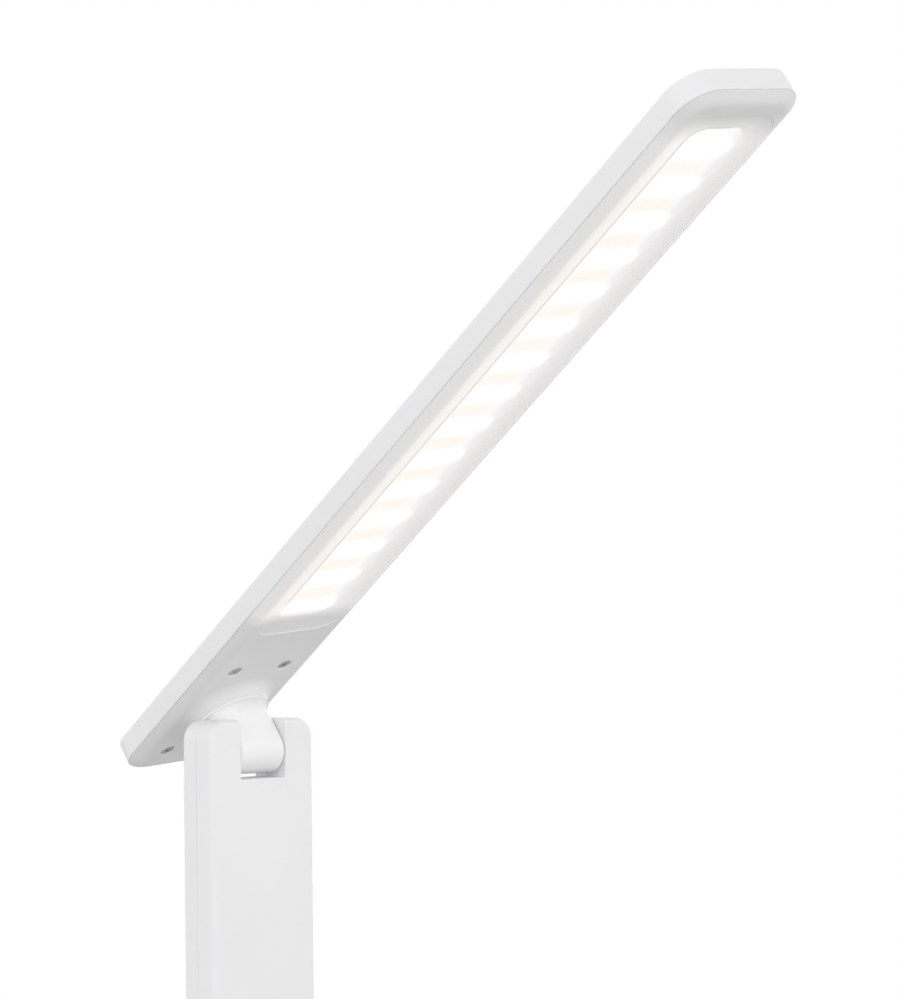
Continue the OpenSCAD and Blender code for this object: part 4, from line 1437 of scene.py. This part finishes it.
class LAMP_OT_base_cover(bpy.types.Operator):
    """Build the cover of the base"""

    bl_idname = "lamp.base_cover"
    bl_label = "Base Cover"
    bl_options = {"REGISTER", "UNDO"}

    def execute(self, context):
        """Run base_cover()."""
        base_cover()
        return {"FINISHED"}


class LAMP_OT_sole_pad(bpy.types.Operator):
    """Build the rubber pad under the base"""

    bl_idname = "lamp.sole_pad"
    bl_label = "Sole Pad"
    bl_options = {"REGISTER", "UNDO"}

    def execute(self, context):
        """Run sole_pad()."""
        sole_pad()
        return {"FINISHED"}


class LAMP_OT_base_screws(bpy.types.Operator):
    """Build the screws in the base's underside"""

    bl_idname = "lamp.base_screws"
    bl_label = "Base Screws"
    bl_options = {"REGISTER", "UNDO"}

    def execute(self, context):
        """Run base_screws()."""
        base_screws()
        return {"FINISHED"}


class LAMP_OT_touch_panel(bpy.types.Operator):
    """Build the touch panel and its printed marks"""

    bl_idname = "lamp.touch_panel"
    bl_label = "Touch Panel"
    bl_options = {"REGISTER", "UNDO"}

    def execute(self, context):
        """Run touch_panel()."""
        touch_panel()
        return {"FINISHED"}


class LAMP_OT_power_inlet(bpy.types.Operator):
    """Build the socket at the back of the base"""

    bl_idname = "lamp.power_inlet"
    bl_label = "Power Inlet"
    bl_options = {"REGISTER", "UNDO"}

    def execute(self, context):
        """Run power_inlet()."""
        power_inlet()
        return {"FINISHED"}


class LAMP_OT_inside_parts(bpy.types.Operator):
    """Give the remaining pieces their materials"""

    bl_idname = "lamp.inside_parts"
    bl_label = "Inside Parts"
    bl_options = {"REGISTER", "UNDO"}

    def execute(self, context):
        """Run inside_parts()."""
        inside_parts()
        return {"FINISHED"}


class LAMP_OT_stage(bpy.types.Operator):
    """Build the floor, lights and camera"""

    bl_idname = "lamp.stage"
    bl_label = "Stage"
    bl_options = {"REGISTER", "UNDO"}

    def execute(self, context):
        """Run stage()."""
        stage()
        return {"FINISHED"}


OPERATORS = (
    LAMP_OT_head_shell,
    LAMP_OT_head_bezel,
    LAMP_OT_diffuser,
    LAMP_OT_head_screws,
    LAMP_OT_knuckle,
    LAMP_OT_hinge_stem,
    LAMP_OT_arm_shells,
    LAMP_OT_arm_screws,
    LAMP_OT_base_cover,
    LAMP_OT_sole_pad,
    LAMP_OT_base_screws,
    LAMP_OT_touch_panel,
    LAMP_OT_power_inlet,
    LAMP_OT_inside_parts,
    LAMP_OT_stage,
)


class LAMP_PT_pieces(bpy.types.Panel):
    """Sidebar panel with the lamp's pieces"""

    bl_idname = "LAMP_PT_pieces"
    bl_label = "Desk Lamp"
    bl_space_type = "VIEW_3D"
    bl_region_type = "UI"
    bl_category = "Desk Lamp"

    def draw(self, context):
        """List the operators, sizes and colours."""
        layout = self.layout
        for operator in OPERATORS:
            layout.operator(operator.bl_idname)
        for group in (context.scene.lamp_sizes, context.scene.lamp_colours):
            column = layout.column(align=True)
            for key in group.__annotations__:
                column.prop(group, key)


CLASSES = (LampSizes, LampColours, *OPERATORS, LAMP_PT_pieces)


def register():
    """Add the classes and the scene's settings."""
    for cls in CLASSES:
        bpy.utils.register_class(cls)
    bpy.types.Scene.lamp_sizes = PointerProperty(type=LampSizes)
    bpy.types.Scene.lamp_colours = PointerProperty(type=LampColours)


def unregister():
    """Remove them again."""
    del bpy.types.Scene.lamp_colours
    del bpy.types.Scene.lamp_sizes
    for cls in reversed(CLASSES):
        bpy.utils.unregister_class(cls)


def main():
    """Build the lamp piece by piece."""
    register()
    for operator in OPERATORS:
        group, name = operator.bl_idname.split(".")
        getattr(getattr(bpy.ops, group), name)()


if __name__ == "__main__":
    main()
